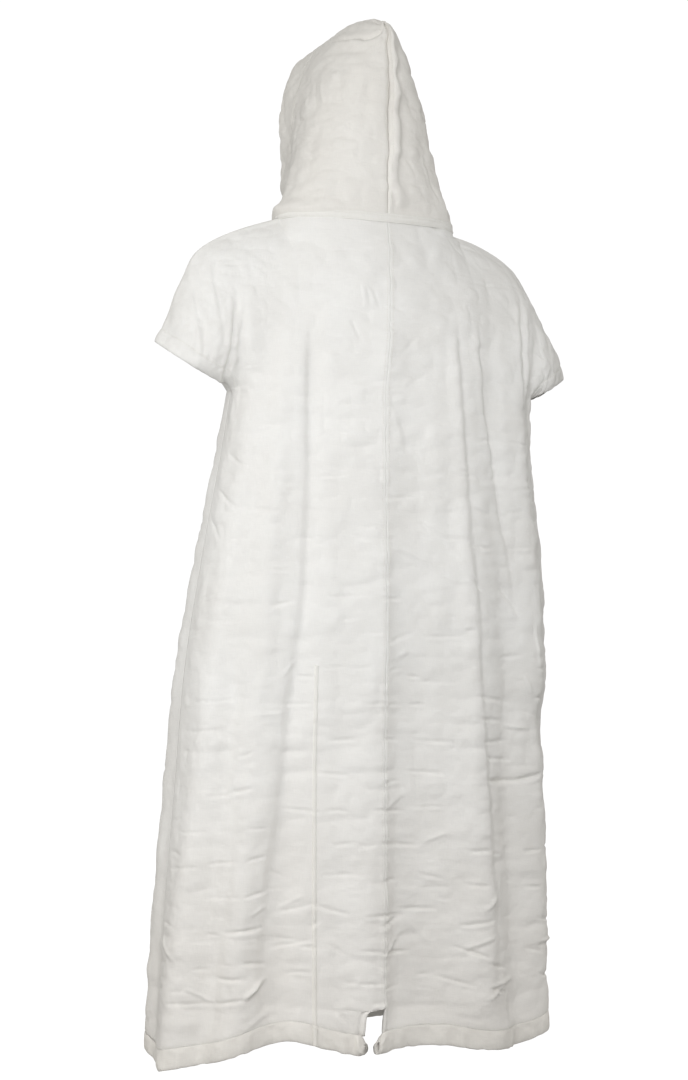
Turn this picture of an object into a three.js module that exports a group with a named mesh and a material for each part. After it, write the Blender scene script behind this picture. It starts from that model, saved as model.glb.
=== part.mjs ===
// Hooded pullover poncho in crinkled off-white cotton, worn: a hollow form that
// hangs from the neck and shoulders. Units are millimetres, +Z is up.
// +X is the wearer's left, the wearer faces -Y, and the origin is the middle of
// the neck at the level where the hood joins the body.
import * as THREE from 'three';

// ---------- driving dimensions ----------
const WALL = 2.0;            // cloth wall
const SEAM_SHIFT = 0.17;     // each edge steps back this far, so seams are about 0.3 wide
const SIDE_SHIFT = 0.24;     // a little more on shoulder and side seams, which turn a corner
const NECK_HALF_WIDTH = 125;
const NECK_BACK = 75;        // neck line behind the middle
const NECK_FRONT = 98;       // neck line in front of the middle
const NECK_SIDE_Z = -8;      // neck line at the shoulder
const NECK_BACK_DROP = 5;    // and lower than that at the centre back
const NECK_FRONT_DROP = 60;  // and at the centre front
const NECK_SHARE = 0.33;     // part of a panel's half width taken by the neck line
const YOKE_BOTTOM = -240;    // level of the underarm
const HEM_LEVEL = -1104;     // general level of the hem's lower edge
const RING_POWER = 0.92;     // a body ring is a little squarer than an ellipse
const CASING_DEPTH = 27;     // turned hem, top to bottom
const CASING_THICK = 5.4;
const CASING_PROUD = 0.6;    // it stands this far out of the panel
const CASING_WALL = 1.5;
const BAND_REACH = 0.020;    // neck band, reach onto hood and body as a part of their length
const BAND_LIFT = 0.9;
const BAND_WALL = 1.2;
const STRIP_WIDTH = 7;       // upright seam strip on the left back panel
const STRIP_LIFT = 0.35;
const STRIP_WALL = 1.2;
const STRIP_Q = 0.237;       // where it stands across the panel at its top
const STRIP_Q_HEM = 0.206;   // and at the hem
const STRIP_TOP = -598;

// ---------- body rings: height, half width, half depth, centre ----------
const BODY = [
  { z: -1104, a: 281, b: 143, cx: 10, cy: -15 },
  { z: -1000, a: 279, b: 140, cx: 8, cy: -12 },
  { z: -900, a: 276, b: 136, cx: 6, cy: -9 },
  { z: -750, a: 267, b: 128, cx: 3, cy: -4 },
  { z: -600, a: 262, b: 119, cx: -5, cy: 1 },
  { z: -450, a: 245, b: 110, cx: -13, cy: 4 },
  { z: -330, a: 226, b: 104, cx: -18, cy: 5 },
  { z: -240, a: 216, b: 100, cx: -24, cy: 5 },
];
// centre back seam, degrees towards the wearer's left
const SEAM = [
  { z: -1104, deg: 3.8 }, { z: -900, deg: 4.1 }, { z: -650, deg: 5.0 },
  { z: -450, deg: 6.4 }, { z: -240, deg: 9.0 },
];
// upright folds: direction in degrees from the back (left positive), height out of
// the ring and half width in degrees, each at underarm, mid height and hem
const FOLDS = [
  { name: 'seam ridge', dir: [9.5, 9, 8], out: [2, 4, 7], wide: [5, 6, 8] },
  { name: 'seam trough', dir: [-1, -3, -6], out: [-2, -5, -9], wide: [4.5, 6, 8] },
  { name: 'right ridge', dir: [-20, -23, -29], out: [4, 8, 10], wide: [6, 7, 9] },
  { name: 'right trough', dir: [-33, -37, -44], out: [-5, -8, -10], wide: [4.5, 5.5, 6] },
  { name: 'right side ridge', dir: [-50, -54, -60], out: [5, 7, 9], wide: [7, 8, 8] },
  { name: 'right side crease', dir: [-66, -70, -76], out: [-2, -4, -6], wide: [5, 5, 6] },
  { name: 'left trough', dir: [37, 33, 33], out: [-3, -5, -10], wide: [5, 6, 8] },
  { name: 'left ridge', dir: [50, 45, 49], out: [4, 7, 12], wide: [5.5, 6, 7.5] },
  { name: 'left groove', dir: [60, 54, 60], out: [0, -3, -9], wide: [4, 5, 6] },
  { name: 'left side ridge', dir: [68, 66, 76], out: [2, 6, 11], wide: [8, 8, 9] },
  { name: 'left side crease', dir: [90, 90, 96], out: [0, -3, -7], wide: [6, 7, 7] },
  { name: 'front left outer ridge', dir: [100, 102, 108], out: [3, 6, 10], wide: [7, 8, 9] },
  { name: 'front left trough', dir: [118, 122, 127], out: [-3, -7, -12], wide: [7, 8, 9] },
  { name: 'front left ridge', dir: [140, 146, 152], out: [4, 9, 14], wide: [7, 8, 10] },
  { name: 'front middle trough', dir: [168, 172, 176], out: [-4, -7, -12], wide: [8, 9, 10] },
  { name: 'front right ridge', dir: [-162, -160, -156], out: [4, 9, 14], wide: [7, 9, 10] },
  { name: 'front right trough', dir: [-140, -136, -130], out: [-3, -7, -12], wide: [7, 8, 9] },
  { name: 'front right outer ridge', dir: [-116, -112, -106], out: [3, 7, 11], wide: [7, 8, 9] },
];
// the hem's lower edge: rise above its general level, by direction
const HEM = [
  { deg: -180, up: 20 }, { deg: -150, up: 22 }, { deg: -120, up: 18 }, { deg: -95, up: 18 },
  { deg: -75, up: 18 }, { deg: -62, up: 12 }, { deg: -48, up: 0 }, { deg: -36, up: -2 },
  { deg: -24, up: 2 }, { deg: -14, up: 12 }, { deg: -6, up: 14 }, { deg: 2, up: 12 },
  { deg: 10, up: 10 }, { deg: 18, up: 18 }, { deg: 27, up: 28 }, { deg: 36, up: 24 },
  { deg: 46, up: 12 }, { deg: 58, up: 0 }, { deg: 70, up: -6 }, { deg: 82, up: -12 },
  { deg: 95, up: -8 }, { deg: 110, up: 6 }, { deg: 130, up: 16 }, { deg: 155, up: 20 },
  { deg: 180, up: 20 },
];
// shoulder line from the neck to the sleeve's lowest point, wearer's left and right
const SHOULDER = [
  { xl: 125, zl: NECK_SIDE_Z, xr: 125, zr: NECK_SIDE_Z },
  { xl: 179, zl: -27, xr: 168, zr: -20 },
  { xl: 220, zl: -47, xr: 208, zr: -40 },
  { xl: 243, zl: -67, xr: 235, zr: -66 },
  { xl: 256, zl: -94, xr: 260, zr: -109 },
  { xl: 267, zl: -117, xr: 275, zr: -134 },
  { xl: 279, zl: -150, xr: 294, zr: -163 },
  { xl: 296, zl: -182, xr: 306, zr: -196 },
];
// underarm level across a panel, from the wearer's right to left
const UNDERARM = [
  { q: -1, z: -229 }, { q: -0.6, z: -240 }, { q: 0, z: -240 }, { q: 0.6, z: -240 }, { q: 1, z: -237 },
];
// how the cloth falls from the top line to the underarm, from centre to sleeve edge:
// share of straight fall, and speed of the sideways move on the left and right
const YOKE = [
  { q: 0, straight: 0.80, left: 1.6, right: 1.6 },
  { q: 0.25, straight: 0.62, left: 1.6, right: 1.6 },
  { q: 0.5, straight: 0.32, left: 1.6, right: 1.6 },
  { q: 0.75, straight: 0.34, left: 1.9, right: 1.5 },
  { q: 1, straight: 0.80, left: 3.2, right: 0.9 },
];
// middle point of each sleeve's open edge
const SLEEVE_EDGE = {
  backLeft: [262, 46, -217], frontLeft: [246, -40, -190],
  backRight: [-254, 46, -214], frontRight: [-277, -35, -222],
};
// creases that run up from the armpits on the back
const CREASES = [
  { q: 0.80, qTop: 0.60, depth: -5, wide: 0.050 },
  { q: -0.80, qTop: -0.70, depth: -6, wide: 0.045 },
];
const SMOOTH_TOP = [-1, -0.8, -0.62, -0.46, -0.2, 0, 0.2, 0.46, 0.62, 0.8, 1];
// hood by height (0 neck, 1 crown): half width at the side, half width at the face
// edge, reach behind and in front of the middle
const HOOD = [
  { g: 0, w: 125, face: 92, back: 75, front: 98 },
  { g: 0.12, w: 115, face: 88, back: 74, front: 102 },
  { g: 0.22, w: 104, face: 84, back: 75, front: 104 },
  { g: 0.35, w: 93, face: 81, back: 77, front: 105 },
  { g: 0.55, w: 79, face: 80, back: 79, front: 105 },
  { g: 0.68, w: 65, face: 80, back: 80, front: 105 },
  { g: 0.8, w: 50, face: 71, back: 79, front: 105 },
  { g: 0.9, w: 30, face: 51, back: 76, front: 105 },
  { g: 0.96, w: 15, face: 26, back: 71, front: 104 },
  { g: 1, w: 0.2, face: 0.2, back: 60, front: 103 },
];
const CROWN = [{ psi: 0, z: 245 }, { psi: 0.15, z: 253 }, { psi: 0.5, z: 266 }, { psi: 1, z: 268 }];
// the puffed ridge beside the hood's back seam, on the wearer's right half
const PUFF = { psi: 0.075, wide: 0.035, out: 6 };
// slit at the centre back: height above the hem's edge, and how far each panel's
// edge stands off the seam line (towards the wearer's left positive)
const SLIT = [
  { up: 27, left: 26, right: 0 }, { up: 36, left: 27, right: -1 }, { up: 46, left: 25, right: -2 },
  { up: 53, left: 19, right: -1 }, { up: 57, left: 0, right: 0 },
];
const CASING_NOSE = { leftAt: 20, rightAt: 12, height: 16, length: 9 };

// ---------- small maths ----------
const clamp = (x, lo, hi) => Math.min(hi, Math.max(lo, x));
const smooth = (x) => { const c = clamp(x, 0, 1); return c * c * (3 - 2 * c); };
const rad = (d) => d * Math.PI / 180;
// smooth curve through a table's rows; beyond the last row it can go on straight
function curve(rows, key, value, x, extend = false) {
  const n = rows.length;
  const X = (i) => rows[i][key];
  const Y = (i) => rows[i][value];
  const slope = (i) => {
    const lo = Math.max(i - 1, 0);
    const hi = Math.min(i + 1, n - 1);
    return (Y(hi) - Y(lo)) / (X(hi) - X(lo));
  };
  if (x <= X(0)) return Y(0);
  if (x >= X(n - 1)) return Y(n - 1) + (extend ? slope(n - 1) * (x - X(n - 1)) : 0);
  let i = 0;
  while (x > X(i + 1)) i++;
  const h = X(i + 1) - X(i);
  const t = (x - X(i)) / h;
  const t2 = t * t;
  const t3 = t2 * t;
  return (2 * t3 - 3 * t2 + 1) * Y(i) + (t3 - 2 * t2 + t) * h * slope(i)
    + (-2 * t3 + 3 * t2) * Y(i + 1) + (t3 - t2) * h * slope(i + 1);
}
const three = (values, z) => curve([
  { z: HEM_LEVEL, v: values[2] }, { z: -600, v: values[1] }, { z: YOKE_BOTTOM, v: values[0] },
], 'z', 'v', z);

// ---------- the body's surface ----------
function foldHeight(phi, z) {
  const deg = phi * 180 / Math.PI;
  let out = 0;
  for (const f of FOLDS) {
    let d = (deg - three(f.dir, z) + 180) % 360;
    if (d < 0) d += 360;
    d = (d - 180) / three(f.wide, z);
    out += three(f.out, z) * Math.exp(-d * d);
  }
  return out;
}
function ringPoint(phi, z, foldShare) {
  const a = curve(BODY, 'z', 'a', z, true);
  const b = curve(BODY, 'z', 'b', z, true);
  const s = Math.sin(phi);
  const c = Math.cos(phi);
  const len = Math.hypot(s * b, c * a);
  const d = foldHeight(phi, z) * foldShare;
  return [
    curve(BODY, 'z', 'cx', z, true) + a * Math.sign(s) * Math.abs(s) ** RING_POWER + d * s * b / len,
    curve(BODY, 'z', 'cy', z, true) + b * Math.sign(c) * Math.abs(c) ** RING_POWER + d * c * a / len,
  ];
}
function hemEdge(phi) {
  let deg = (phi * 180 / Math.PI + 180) % 360;
  if (deg < 0) deg += 360;
  return HEM_LEVEL + curve(HEM, 'deg', 'up', deg - 180);
}
// neck line and shoulder line in one, q from the wearer's right (-1) to left (1)
const shoulderRows = ['l', 'r'].map((side) => {
  let run = 0;
  const rows = SHOULDER.map((r, i) => {
    if (i) run += Math.hypot(r[`x${side}`] - SHOULDER[i - 1][`x${side}`], r[`z${side}`] - SHOULDER[i - 1][`z${side}`]);
    return { s: run, x: r[`x${side}`], z: r[`z${side}`] };
  });
  return rows.map((r) => ({ ...r, s: r.s / run }));
});
function neckLine(isBack, angle) {
  const c = Math.cos(angle);
  const drop = isBack ? NECK_BACK_DROP * c * c : NECK_FRONT_DROP * Math.abs(c) ** 1.5;
  return [NECK_HALF_WIDTH * Math.sin(angle), (isBack ? NECK_BACK : -NECK_FRONT) * c, NECK_SIDE_Z - drop];
}
function topLine(isBack, q) {
  const aq = Math.abs(q);
  if (aq < NECK_SHARE) {
    const [x, y, z] = neckLine(isBack, (Math.PI / 2) * aq / NECK_SHARE);
    return [x * Math.sign(q), y, z];
  }
  const f = (aq - NECK_SHARE) / (1 - NECK_SHARE);
  const rows = shoulderRows[q > 0 ? 0 : 1];
  return [curve(rows, 's', 'x', f) * Math.sign(q), 0, curve(rows, 's', 'z', f)];
}
const softRows = [true, false].map((isBack) => SMOOTH_TOP.map((q) => {
  const [x, y, z] = topLine(isBack, q);
  return { q, x, y, z };
}));
function softTop(isBack, q, k) {
  const p = topLine(isBack, q);
  const rows = softRows[isBack ? 0 : 1];
  return ['x', 'y', 'z'].map((axis, i) => p[i] + (curve(rows, 'q', axis, q) - p[i]) * k);
}
function direction(isBack, q, z) {
  if (!isBack) return Math.PI - q * Math.PI / 2;
  const seam = rad(curve(SEAM, 'z', 'deg', z));
  return q >= 0 ? seam + (Math.PI / 2 - seam) * q : seam + (Math.PI / 2 + seam) * q;
}
function yokePoint(isBack, q, h) {
  const S = softTop(isBack, q, smooth(h / 0.45));
  const low = curve(UNDERARM, 'q', 'z', q);
  const aq = Math.abs(q);
  const straight = curve(YOKE, 'q', 'straight', aq);
  const speed = curve(YOKE, 'q', q > 0 ? 'left' : 'right', aq);
  const s = Math.sin(Math.PI * h / 2);
  const back = s ** (0.9 + 0.25 * clamp(1 - aq / 0.5, 0, 1));
  const down = (1 - Math.cos(Math.PI * h / 2)) * (1 - straight) + h * straight;
  const z = S[2] + (low - S[2]) * down;
  const R = ringPoint(direction(isBack, q, YOKE_BOTTOM), z, h ** 1.5);
  return [S[0] + (R[0] - S[0]) * s ** speed, S[1] + (R[1] - S[1]) * back, z];
}
// a point of the body: q across, t from 0 at the top line over 1 at the underarm
// to 2 at the hem's edge
function bodyPoint(isBack, q, t) {
  const low = curve(UNDERARM, 'q', 'z', q);
  let crease = 0;
  if (isBack) {
    for (const c of CREASES) {
      const qc = c.q + (c.qTop - c.q) * (1 - smooth(clamp(t, 0, 1)));
      const grow = t < 1 ? smooth((t - 0.15) / 0.5) : clamp(1 - (t - 1) / 0.25, 0, 1) ** 2;
      crease += c.depth * Math.exp(-(((q - qc) / c.wide) ** 2)) * grow;
    }
  }
  if (t > 1) {
    const edge = hemEdge(direction(isBack, q, HEM_LEVEL));
    const z = low + (edge - low) * Math.min(t - 1, 1);
    const [x, y] = ringPoint(direction(isBack, q, Math.min(z, YOKE_BOTTOM)), z, 1);
    return [x, y + crease, z];
  }
  const p = yokePoint(isBack, q, t);
  const side = q > 0 ? 1 : -1;
  const weight = smooth((Math.abs(q) - 0.5) / 0.5);
  if (weight > 0) {
    const T = yokePoint(isBack, side, 0);
    const U = yokePoint(isBack, side, 1);
    const B = yokePoint(isBack, side, t);
    const M = SLEEVE_EDGE[(isBack ? 'back' : 'front') + (side > 0 ? 'Left' : 'Right')];
    for (let i = 0; i < 3; i++) {
      const edge = T[i] * (1 - t) * (1 - 2 * t) + M[i] * 4 * t * (1 - t) + U[i] * t * (2 * t - 1);
      p[i] += (edge - B[i]) * weight;
    }
  }
  p[1] += crease;
  return p;
}
// ---------- the hood's surface: psi from the back seam (0) to the face edge (1),
// h from the neck (0) to the crown seam (1) ----------
function hoodPoint(side, psi, h) {
  const g = h < 0.5 ? h * 1.1 : 0.55 + 0.45 * Math.sin((h - 0.5) * Math.PI);
  const w = curve(HOOD, 'g', 'w', g);
  const face = curve(HOOD, 'g', 'face', g);
  const back = curve(HOOD, 'g', 'back', g);
  const front = curve(HOOD, 'g', 'front', g);
  const angle = Math.PI * Math.min(psi, 0.5);
  const forward = clamp(2 * psi - 1, 0, 1);
  let x = psi < 0.5 ? w * Math.sin(angle) ** 0.9 : w + (face - w) * smooth(forward);
  let y = psi < 0.5 ? back * Math.cos(angle) ** 0.9 : -front * forward;
  const [bx, by, bz] = neckLine(psi < 0.5, psi < 0.5 ? Math.PI * psi : Math.PI * (1 - psi));
  const base = bz + 0.5;
  const z = base + (curve(CROWN, 'psi', 'z', psi) - base) * g;
  const m = smooth(1 - h / 0.34) * forward + clamp(1 - h / 0.1, 0, 1) * (1 - forward);
  x = x * (1 - m) + bx * m;
  y = y * (1 - m) + by * m;
  if (side < 0) {
    const puff = PUFF.out * Math.exp(-(((psi - PUFF.psi) / PUFF.wide) ** 2)) * smooth(h / 0.12) * smooth((1 - h) / 0.12);
    y += puff;
  }
  return [side * Math.max(x, 0.2), y, z];
}

// ---------- vectors ----------
const add = (a, b, k = 1) => [a[0] + b[0] * k, a[1] + b[1] * k, a[2] + b[2] * k];
const sub = (a, b) => add(a, b, -1);
const cross = (a, b) => [a[1] * b[2] - a[2] * b[1], a[2] * b[0] - a[0] * b[2], a[0] * b[1] - a[1] * b[0]];
const unit = (a) => { const l = Math.hypot(...a) || 1; return [a[0] / l, a[1] / l, a[2] / l]; };
// unit normal of a surface f(u, v) with a given turn, by small steps
function normalOf(f, u, v, du, dv, turn, uLim, vLim) {
  const u0 = clamp(u - du, uLim[0], uLim[1]);
  const u1 = clamp(u + du, uLim[0], uLim[1]);
  const v0 = clamp(v - dv, vLim[0], vLim[1]);
  const v1 = clamp(v + dv, vLim[0], vLim[1]);
  const n = cross(sub(f(u1, v), f(u0, v)), sub(f(u, v1), f(u, v0)));
  return unit([n[0] * turn, n[1] * turn, n[2] * turn]);
}
function ownNormal(isBack, q, t) {
  const tt = clamp(t, 0.012, 1.995);
  return normalOf((a, b) => bodyPoint(isBack, a, b), q, tt, 0.012, 0.012, isBack ? 1 : -1, [-1, 1], [0, 2]);
}
// along a seam both panels use the same normal, so their walls stay in line
function bodyNormal(isBack, q, t) {
  const n = ownNormal(isBack, q, t);
  const onShoulder = t < 1e-6 && Math.abs(q) >= NECK_SHARE - 1e-6;
  const onSide = Math.abs(q) > 1 - 1e-6 && t >= 1;
  return onShoulder || onSide ? unit(add(n, ownNormal(!isBack, q, t))) : n;
}
function hoodNormal(side, psi, h) {
  const f = (a, b) => hoodPoint(side, a, b);
  const n = normalOf(f, clamp(psi, 0.01, 1), clamp(h, 0.01, 0.97), 0.01, 0.01, -side, [0, 1], [0, 1]);
  if (psi < 1e-6 || h > 1 - 1e-6) n[0] = 0;
  return unit(n);
}

// ---------- closed walls ----------
// outer and inner are grids [row][column] of points; flip turns the faces round
function wall(outer, inner, flip) {
  const rows = outer.length;
  const cols = outer[0].length;
  const pos = [];
  for (const g of [outer, inner]) for (const r of g) for (const p of r) pos.push(...p);
  const O = (i, j) => i * cols + j;
  const I = (i, j) => rows * cols + i * cols + j;
  const idx = [];
  const quad = (a, b, c, d) => (flip ? idx.push(a, c, b, a, d, c) : idx.push(a, b, c, a, c, d));
  for (let i = 0; i < rows - 1; i++) {
    for (let j = 0; j < cols - 1; j++) {
      quad(O(i, j), O(i + 1, j), O(i + 1, j + 1), O(i, j + 1));
      quad(I(i, j), I(i, j + 1), I(i + 1, j + 1), I(i + 1, j));
    }
    quad(O(i, 0), I(i, 0), I(i + 1, 0), O(i + 1, 0));
    quad(O(i, cols - 1), O(i + 1, cols - 1), I(i + 1, cols - 1), I(i, cols - 1));
  }
  for (let j = 0; j < cols - 1; j++) {
    quad(O(0, j), O(0, j + 1), I(0, j + 1), I(0, j));
    quad(O(rows - 1, j), I(rows - 1, j), I(rows - 1, j + 1), O(rows - 1, j + 1));
  }
  const geo = new THREE.BufferGeometry();
  geo.setAttribute('position', new THREE.Float32BufferAttribute(pos, 3));
  geo.setIndex(idx);
  return geo;
}
// step the points of a grid's edges back into the grid
function stepBack(grid, edges) {
  const out = grid.map((r) => r.map((p) => [...p]));
  const R = grid.length - 1;
  const C = grid[0].length - 1;
  const move = (i, j, k, l, step) => {
    out[i][j] = add(out[i][j], unit(sub(grid[k][l], grid[i][j])), step);
  };
  for (let j = 0; j <= C; j++) {
    if (edges.top?.(j)) move(0, j, 1, j, SIDE_SHIFT);
  }
  for (let i = 0; i <= R; i++) {
    if (edges.first?.(i)) move(i, 0, i, 1, edges.firstStep);
    if (edges.last?.(i)) move(i, C, i, C - 1, edges.lastStep);
  }
  return out;
}

// ---------- body panels ----------
const YOKE_ROWS = [0, 0.04, 0.12, 0.25, 0.42, 0.6, 0.8, 1];
const SKIRT_STEPS = 8;
const seamArc = 5.9;      // millimetres of hem for each degree near the centre back
function panelRows(isBack, qMid) {
  const low = curve(UNDERARM, 'q', 'z', qMid);
  const edge = hemEdge(direction(isBack, qMid, HEM_LEVEL));
  const tOf = (up) => 1 + (low - (edge + up)) / (low - edge);
  const end = tOf(58);
  const rows = [...YOKE_ROWS];
  for (let i = 1; i <= SKIRT_STEPS; i++) rows.push(1 + (end - 1) * i / SKIRT_STEPS);
  return [...rows, tOf(53), tOf(46), tOf(36), tOf(CASING_DEPTH + 0.6)];
}
function slitShift(side, up) {
  if (up > 57) return 0;
  const mm = curve(SLIT, 'up', side > 0 ? 'left' : 'right', up);
  return Math.max(0, mm * side) / seamArc / 85.5;
}
// columns across half a panel, the first ones in line with the hood's
const BACK_COLUMNS = [0, 0.07, 0.15, 0.24, 0.36, 0.52, 0.68, 0.84, 1].map((k) => k * NECK_SHARE)
  .concat([0.38, 0.44, 0.5, 0.56, 0.62, 0.68, 0.74, 0.8, 0.86, 0.92, 0.96, 1]);
const FRONT_COLUMNS = [0, 0.28, 0.56, 0.8, 1].map((k) => k * NECK_SHARE)
  .concat([0.4, 0.47, 0.54, 0.61, 0.68, 0.75, 0.82, 0.89, 0.95, 1]);
const mirror = (list) => list.map((q) => -q || 0).reverse();
const columnsOf = { left: BACK_COLUMNS, right: mirror(BACK_COLUMNS), front: [...mirror(FRONT_COLUMNS).slice(0, -1), ...FRONT_COLUMNS] };
function panel(name, isBack, columns, material) {
  const ts = panelRows(isBack, 0);
  const cols = columns.length - 1;
  const toLeft = columns[cols] > 0 ? 1 : -1;
  const outer = [];
  const inner = [];
  ts.forEach((t0, i) => {
    const o = [];
    const n = [];
    for (let j = 0; j <= cols; j++) {
      let q = columns[j];
      // the last rows keep a fixed height above the hem's wavy edge
      let t = t0;
      if (i >= YOKE_ROWS.length) {
        const low = curve(UNDERARM, 'q', 'z', q);
        const edge = hemEdge(direction(isBack, q, HEM_LEVEL));
        const mid = hemEdge(direction(isBack, 0, HEM_LEVEL));
        const up = (2 - t0) * (curve(UNDERARM, 'q', 'z', 0) - mid);
        const share = smooth((i - YOKE_ROWS.length) / (SKIRT_STEPS - 1));
        t = t0 + (2 - up / (low - edge) - t0) * share;
        if (isBack) {
          q += toLeft * slitShift(toLeft, up) * (1 - Math.abs(q));
        }
      }
      const p = bodyPoint(isBack, q, t);
      o.push(p);
      n.push(add(p, bodyNormal(isBack, q, t), -WALL));
    }
    outer.push(o);
    inner.push(n);
  });
  const yoke = YOKE_ROWS.length - 1;
  const firstIsSide = Math.abs(columns[0]) > 0.99;
  const lastIsSide = Math.abs(columns[cols]) > 0.99;
  const edges = {
    top: (j) => Math.abs(columns[j]) >= NECK_SHARE - 0.001,
    first: (i) => (firstIsSide ? i >= yoke : true),
    last: (i) => (lastIsSide ? i >= yoke : true),
    firstStep: firstIsSide ? SIDE_SHIFT : SEAM_SHIFT,
    lastStep: lastIsSide ? SIDE_SHIFT : SEAM_SHIFT,
  };
  const geo = wall(stepBack(outer, edges), stepBack(inner, edges), isBack);
  const mesh = new THREE.Mesh(geo, material);
  mesh.name = name;
  return mesh;
}

// ---------- hem casings: flat tubes below the panels ----------
// section: distance below the casing's top, and distance out of the panel
const PROFILE = [
  { s: 0, n: CASING_PROUD }, { s: CASING_DEPTH - 3, n: CASING_PROUD },
  { s: CASING_DEPTH, n: CASING_PROUD - 1.8 }, { s: CASING_DEPTH, n: CASING_PROUD - CASING_THICK + 1.8 },
  { s: CASING_DEPTH - 3, n: CASING_PROUD - CASING_THICK }, { s: 0, n: CASING_PROUD - CASING_THICK },
];
const HOLE = [
  { s: CASING_WALL, n: CASING_PROUD - CASING_WALL }, { s: CASING_DEPTH - 3.6, n: CASING_PROUD - CASING_WALL },
  { s: CASING_DEPTH - CASING_WALL, n: CASING_PROUD - CASING_WALL - 0.7 },
  { s: CASING_DEPTH - CASING_WALL, n: CASING_PROUD - CASING_THICK + CASING_WALL + 0.7 },
  { s: CASING_DEPTH - 3.6, n: CASING_PROUD - CASING_THICK + CASING_WALL },
  { s: CASING_WALL, n: CASING_PROUD - CASING_THICK + CASING_WALL },
];
function casing(name, isBack, qs, nose, material) {
  const pos = [];
  const K = PROFILE.length;
  qs.forEach((q, j) => {
    const low = curve(UNDERARM, 'q', 'z', q);
    const edge = hemEdge(direction(isBack, q, HEM_LEVEL));
    const tTop = 2 - CASING_DEPTH / (low - edge);
    const top = bodyPoint(isBack, q, tTop);
    const bottom = bodyPoint(isBack, q, 2);
    const down = unit(sub(bottom, top));
    const e = 0.006;
    const qa = clamp(q - e, -1, 1);
    const qb = clamp(q + e, -1, 1);
    let along = unit(sub(bodyPoint(isBack, qb, tTop), bodyPoint(isBack, qa, tTop)));
    if (Math.abs(q) > 0.999) {
      // one tangent for both panels where they meet
      const other = unit(sub(bodyPoint(!isBack, qb, tTop), bodyPoint(!isBack, qa, tTop)));
      along = unit(sub(along, other));
    }
    let out = unit(cross(along, down));
    if (!isBack) out = [-out[0], -out[1], -out[2]];
    const reach = nose ? nose(q) : 1;
    for (const set of [PROFILE, HOLE]) {
      for (const r of set) {
        const s = CASING_DEPTH - (CASING_DEPTH - r.s) * reach;
        pos.push(...add(add(top, down, s), out, r.n));
      }
    }
  });
  const idx = [];
  const quad = (a, b, c, d) => (isBack ? idx.push(a, c, b, a, d, c) : idx.push(a, b, c, a, c, d));
  const V = (j, hole, k) => j * 2 * K + (hole ? K : 0) + (k % K);
  for (let j = 0; j < qs.length - 1; j++) {
    for (let k = 0; k < K; k++) {
      quad(V(j, 0, k), V(j, 0, k + 1), V(j + 1, 0, k + 1), V(j + 1, 0, k));
      quad(V(j, 1, k), V(j + 1, 1, k), V(j + 1, 1, k + 1), V(j, 1, k + 1));
    }
  }
  const last = qs.length - 1;
  for (let k = 0; k < K; k++) {
    quad(V(0, 0, k), V(0, 1, k), V(0, 1, k + 1), V(0, 0, k + 1));
    quad(V(last, 0, k), V(last, 0, k + 1), V(last, 1, k + 1), V(last, 1, k));
  }
  const geo = new THREE.BufferGeometry();
  geo.setAttribute('position', new THREE.Float32BufferAttribute(pos, 3));
  geo.setIndex(idx);
  const mesh = new THREE.Mesh(geo, material);
  mesh.name = name;
  return mesh;
}
const spread = (from, to, steps) => Array.from({ length: steps + 1 }, (_, i) => from + (to - from) * i / steps);

// ---------- hood halves ----------
const HOOD_COLUMNS = [0, 0.035, 0.075, 0.12, 0.18, 0.26, 0.34, 0.42, 0.5, 0.6, 0.72, 0.86, 1];
const HOOD_ROWS = [0, 0.05, 0.12, 0.22, 0.34, 0.46, 0.58, 0.68, 0.77, 0.85, 0.92, 1];
function hoodHalf(name, side, material) {
  const outer = [];
  const inner = [];
  for (const h of HOOD_ROWS) {
    const o = [];
    const n = [];
    for (const psi of HOOD_COLUMNS) {
      const p = hoodPoint(side, psi, h);
      const m = add(p, hoodNormal(side, psi, h), -WALL);
      if (m[0] * side < 0.2) m[0] = 0.2 * side;
      if (h === 0) m[2] = Math.max(m[2], p[2]);
      o.push(p);
      n.push(m);
    }
    outer.push(o);
    inner.push(n);
  }
  const mesh = new THREE.Mesh(wall(outer, inner, side < 0), material);
  mesh.name = name;
  return mesh;
}

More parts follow.
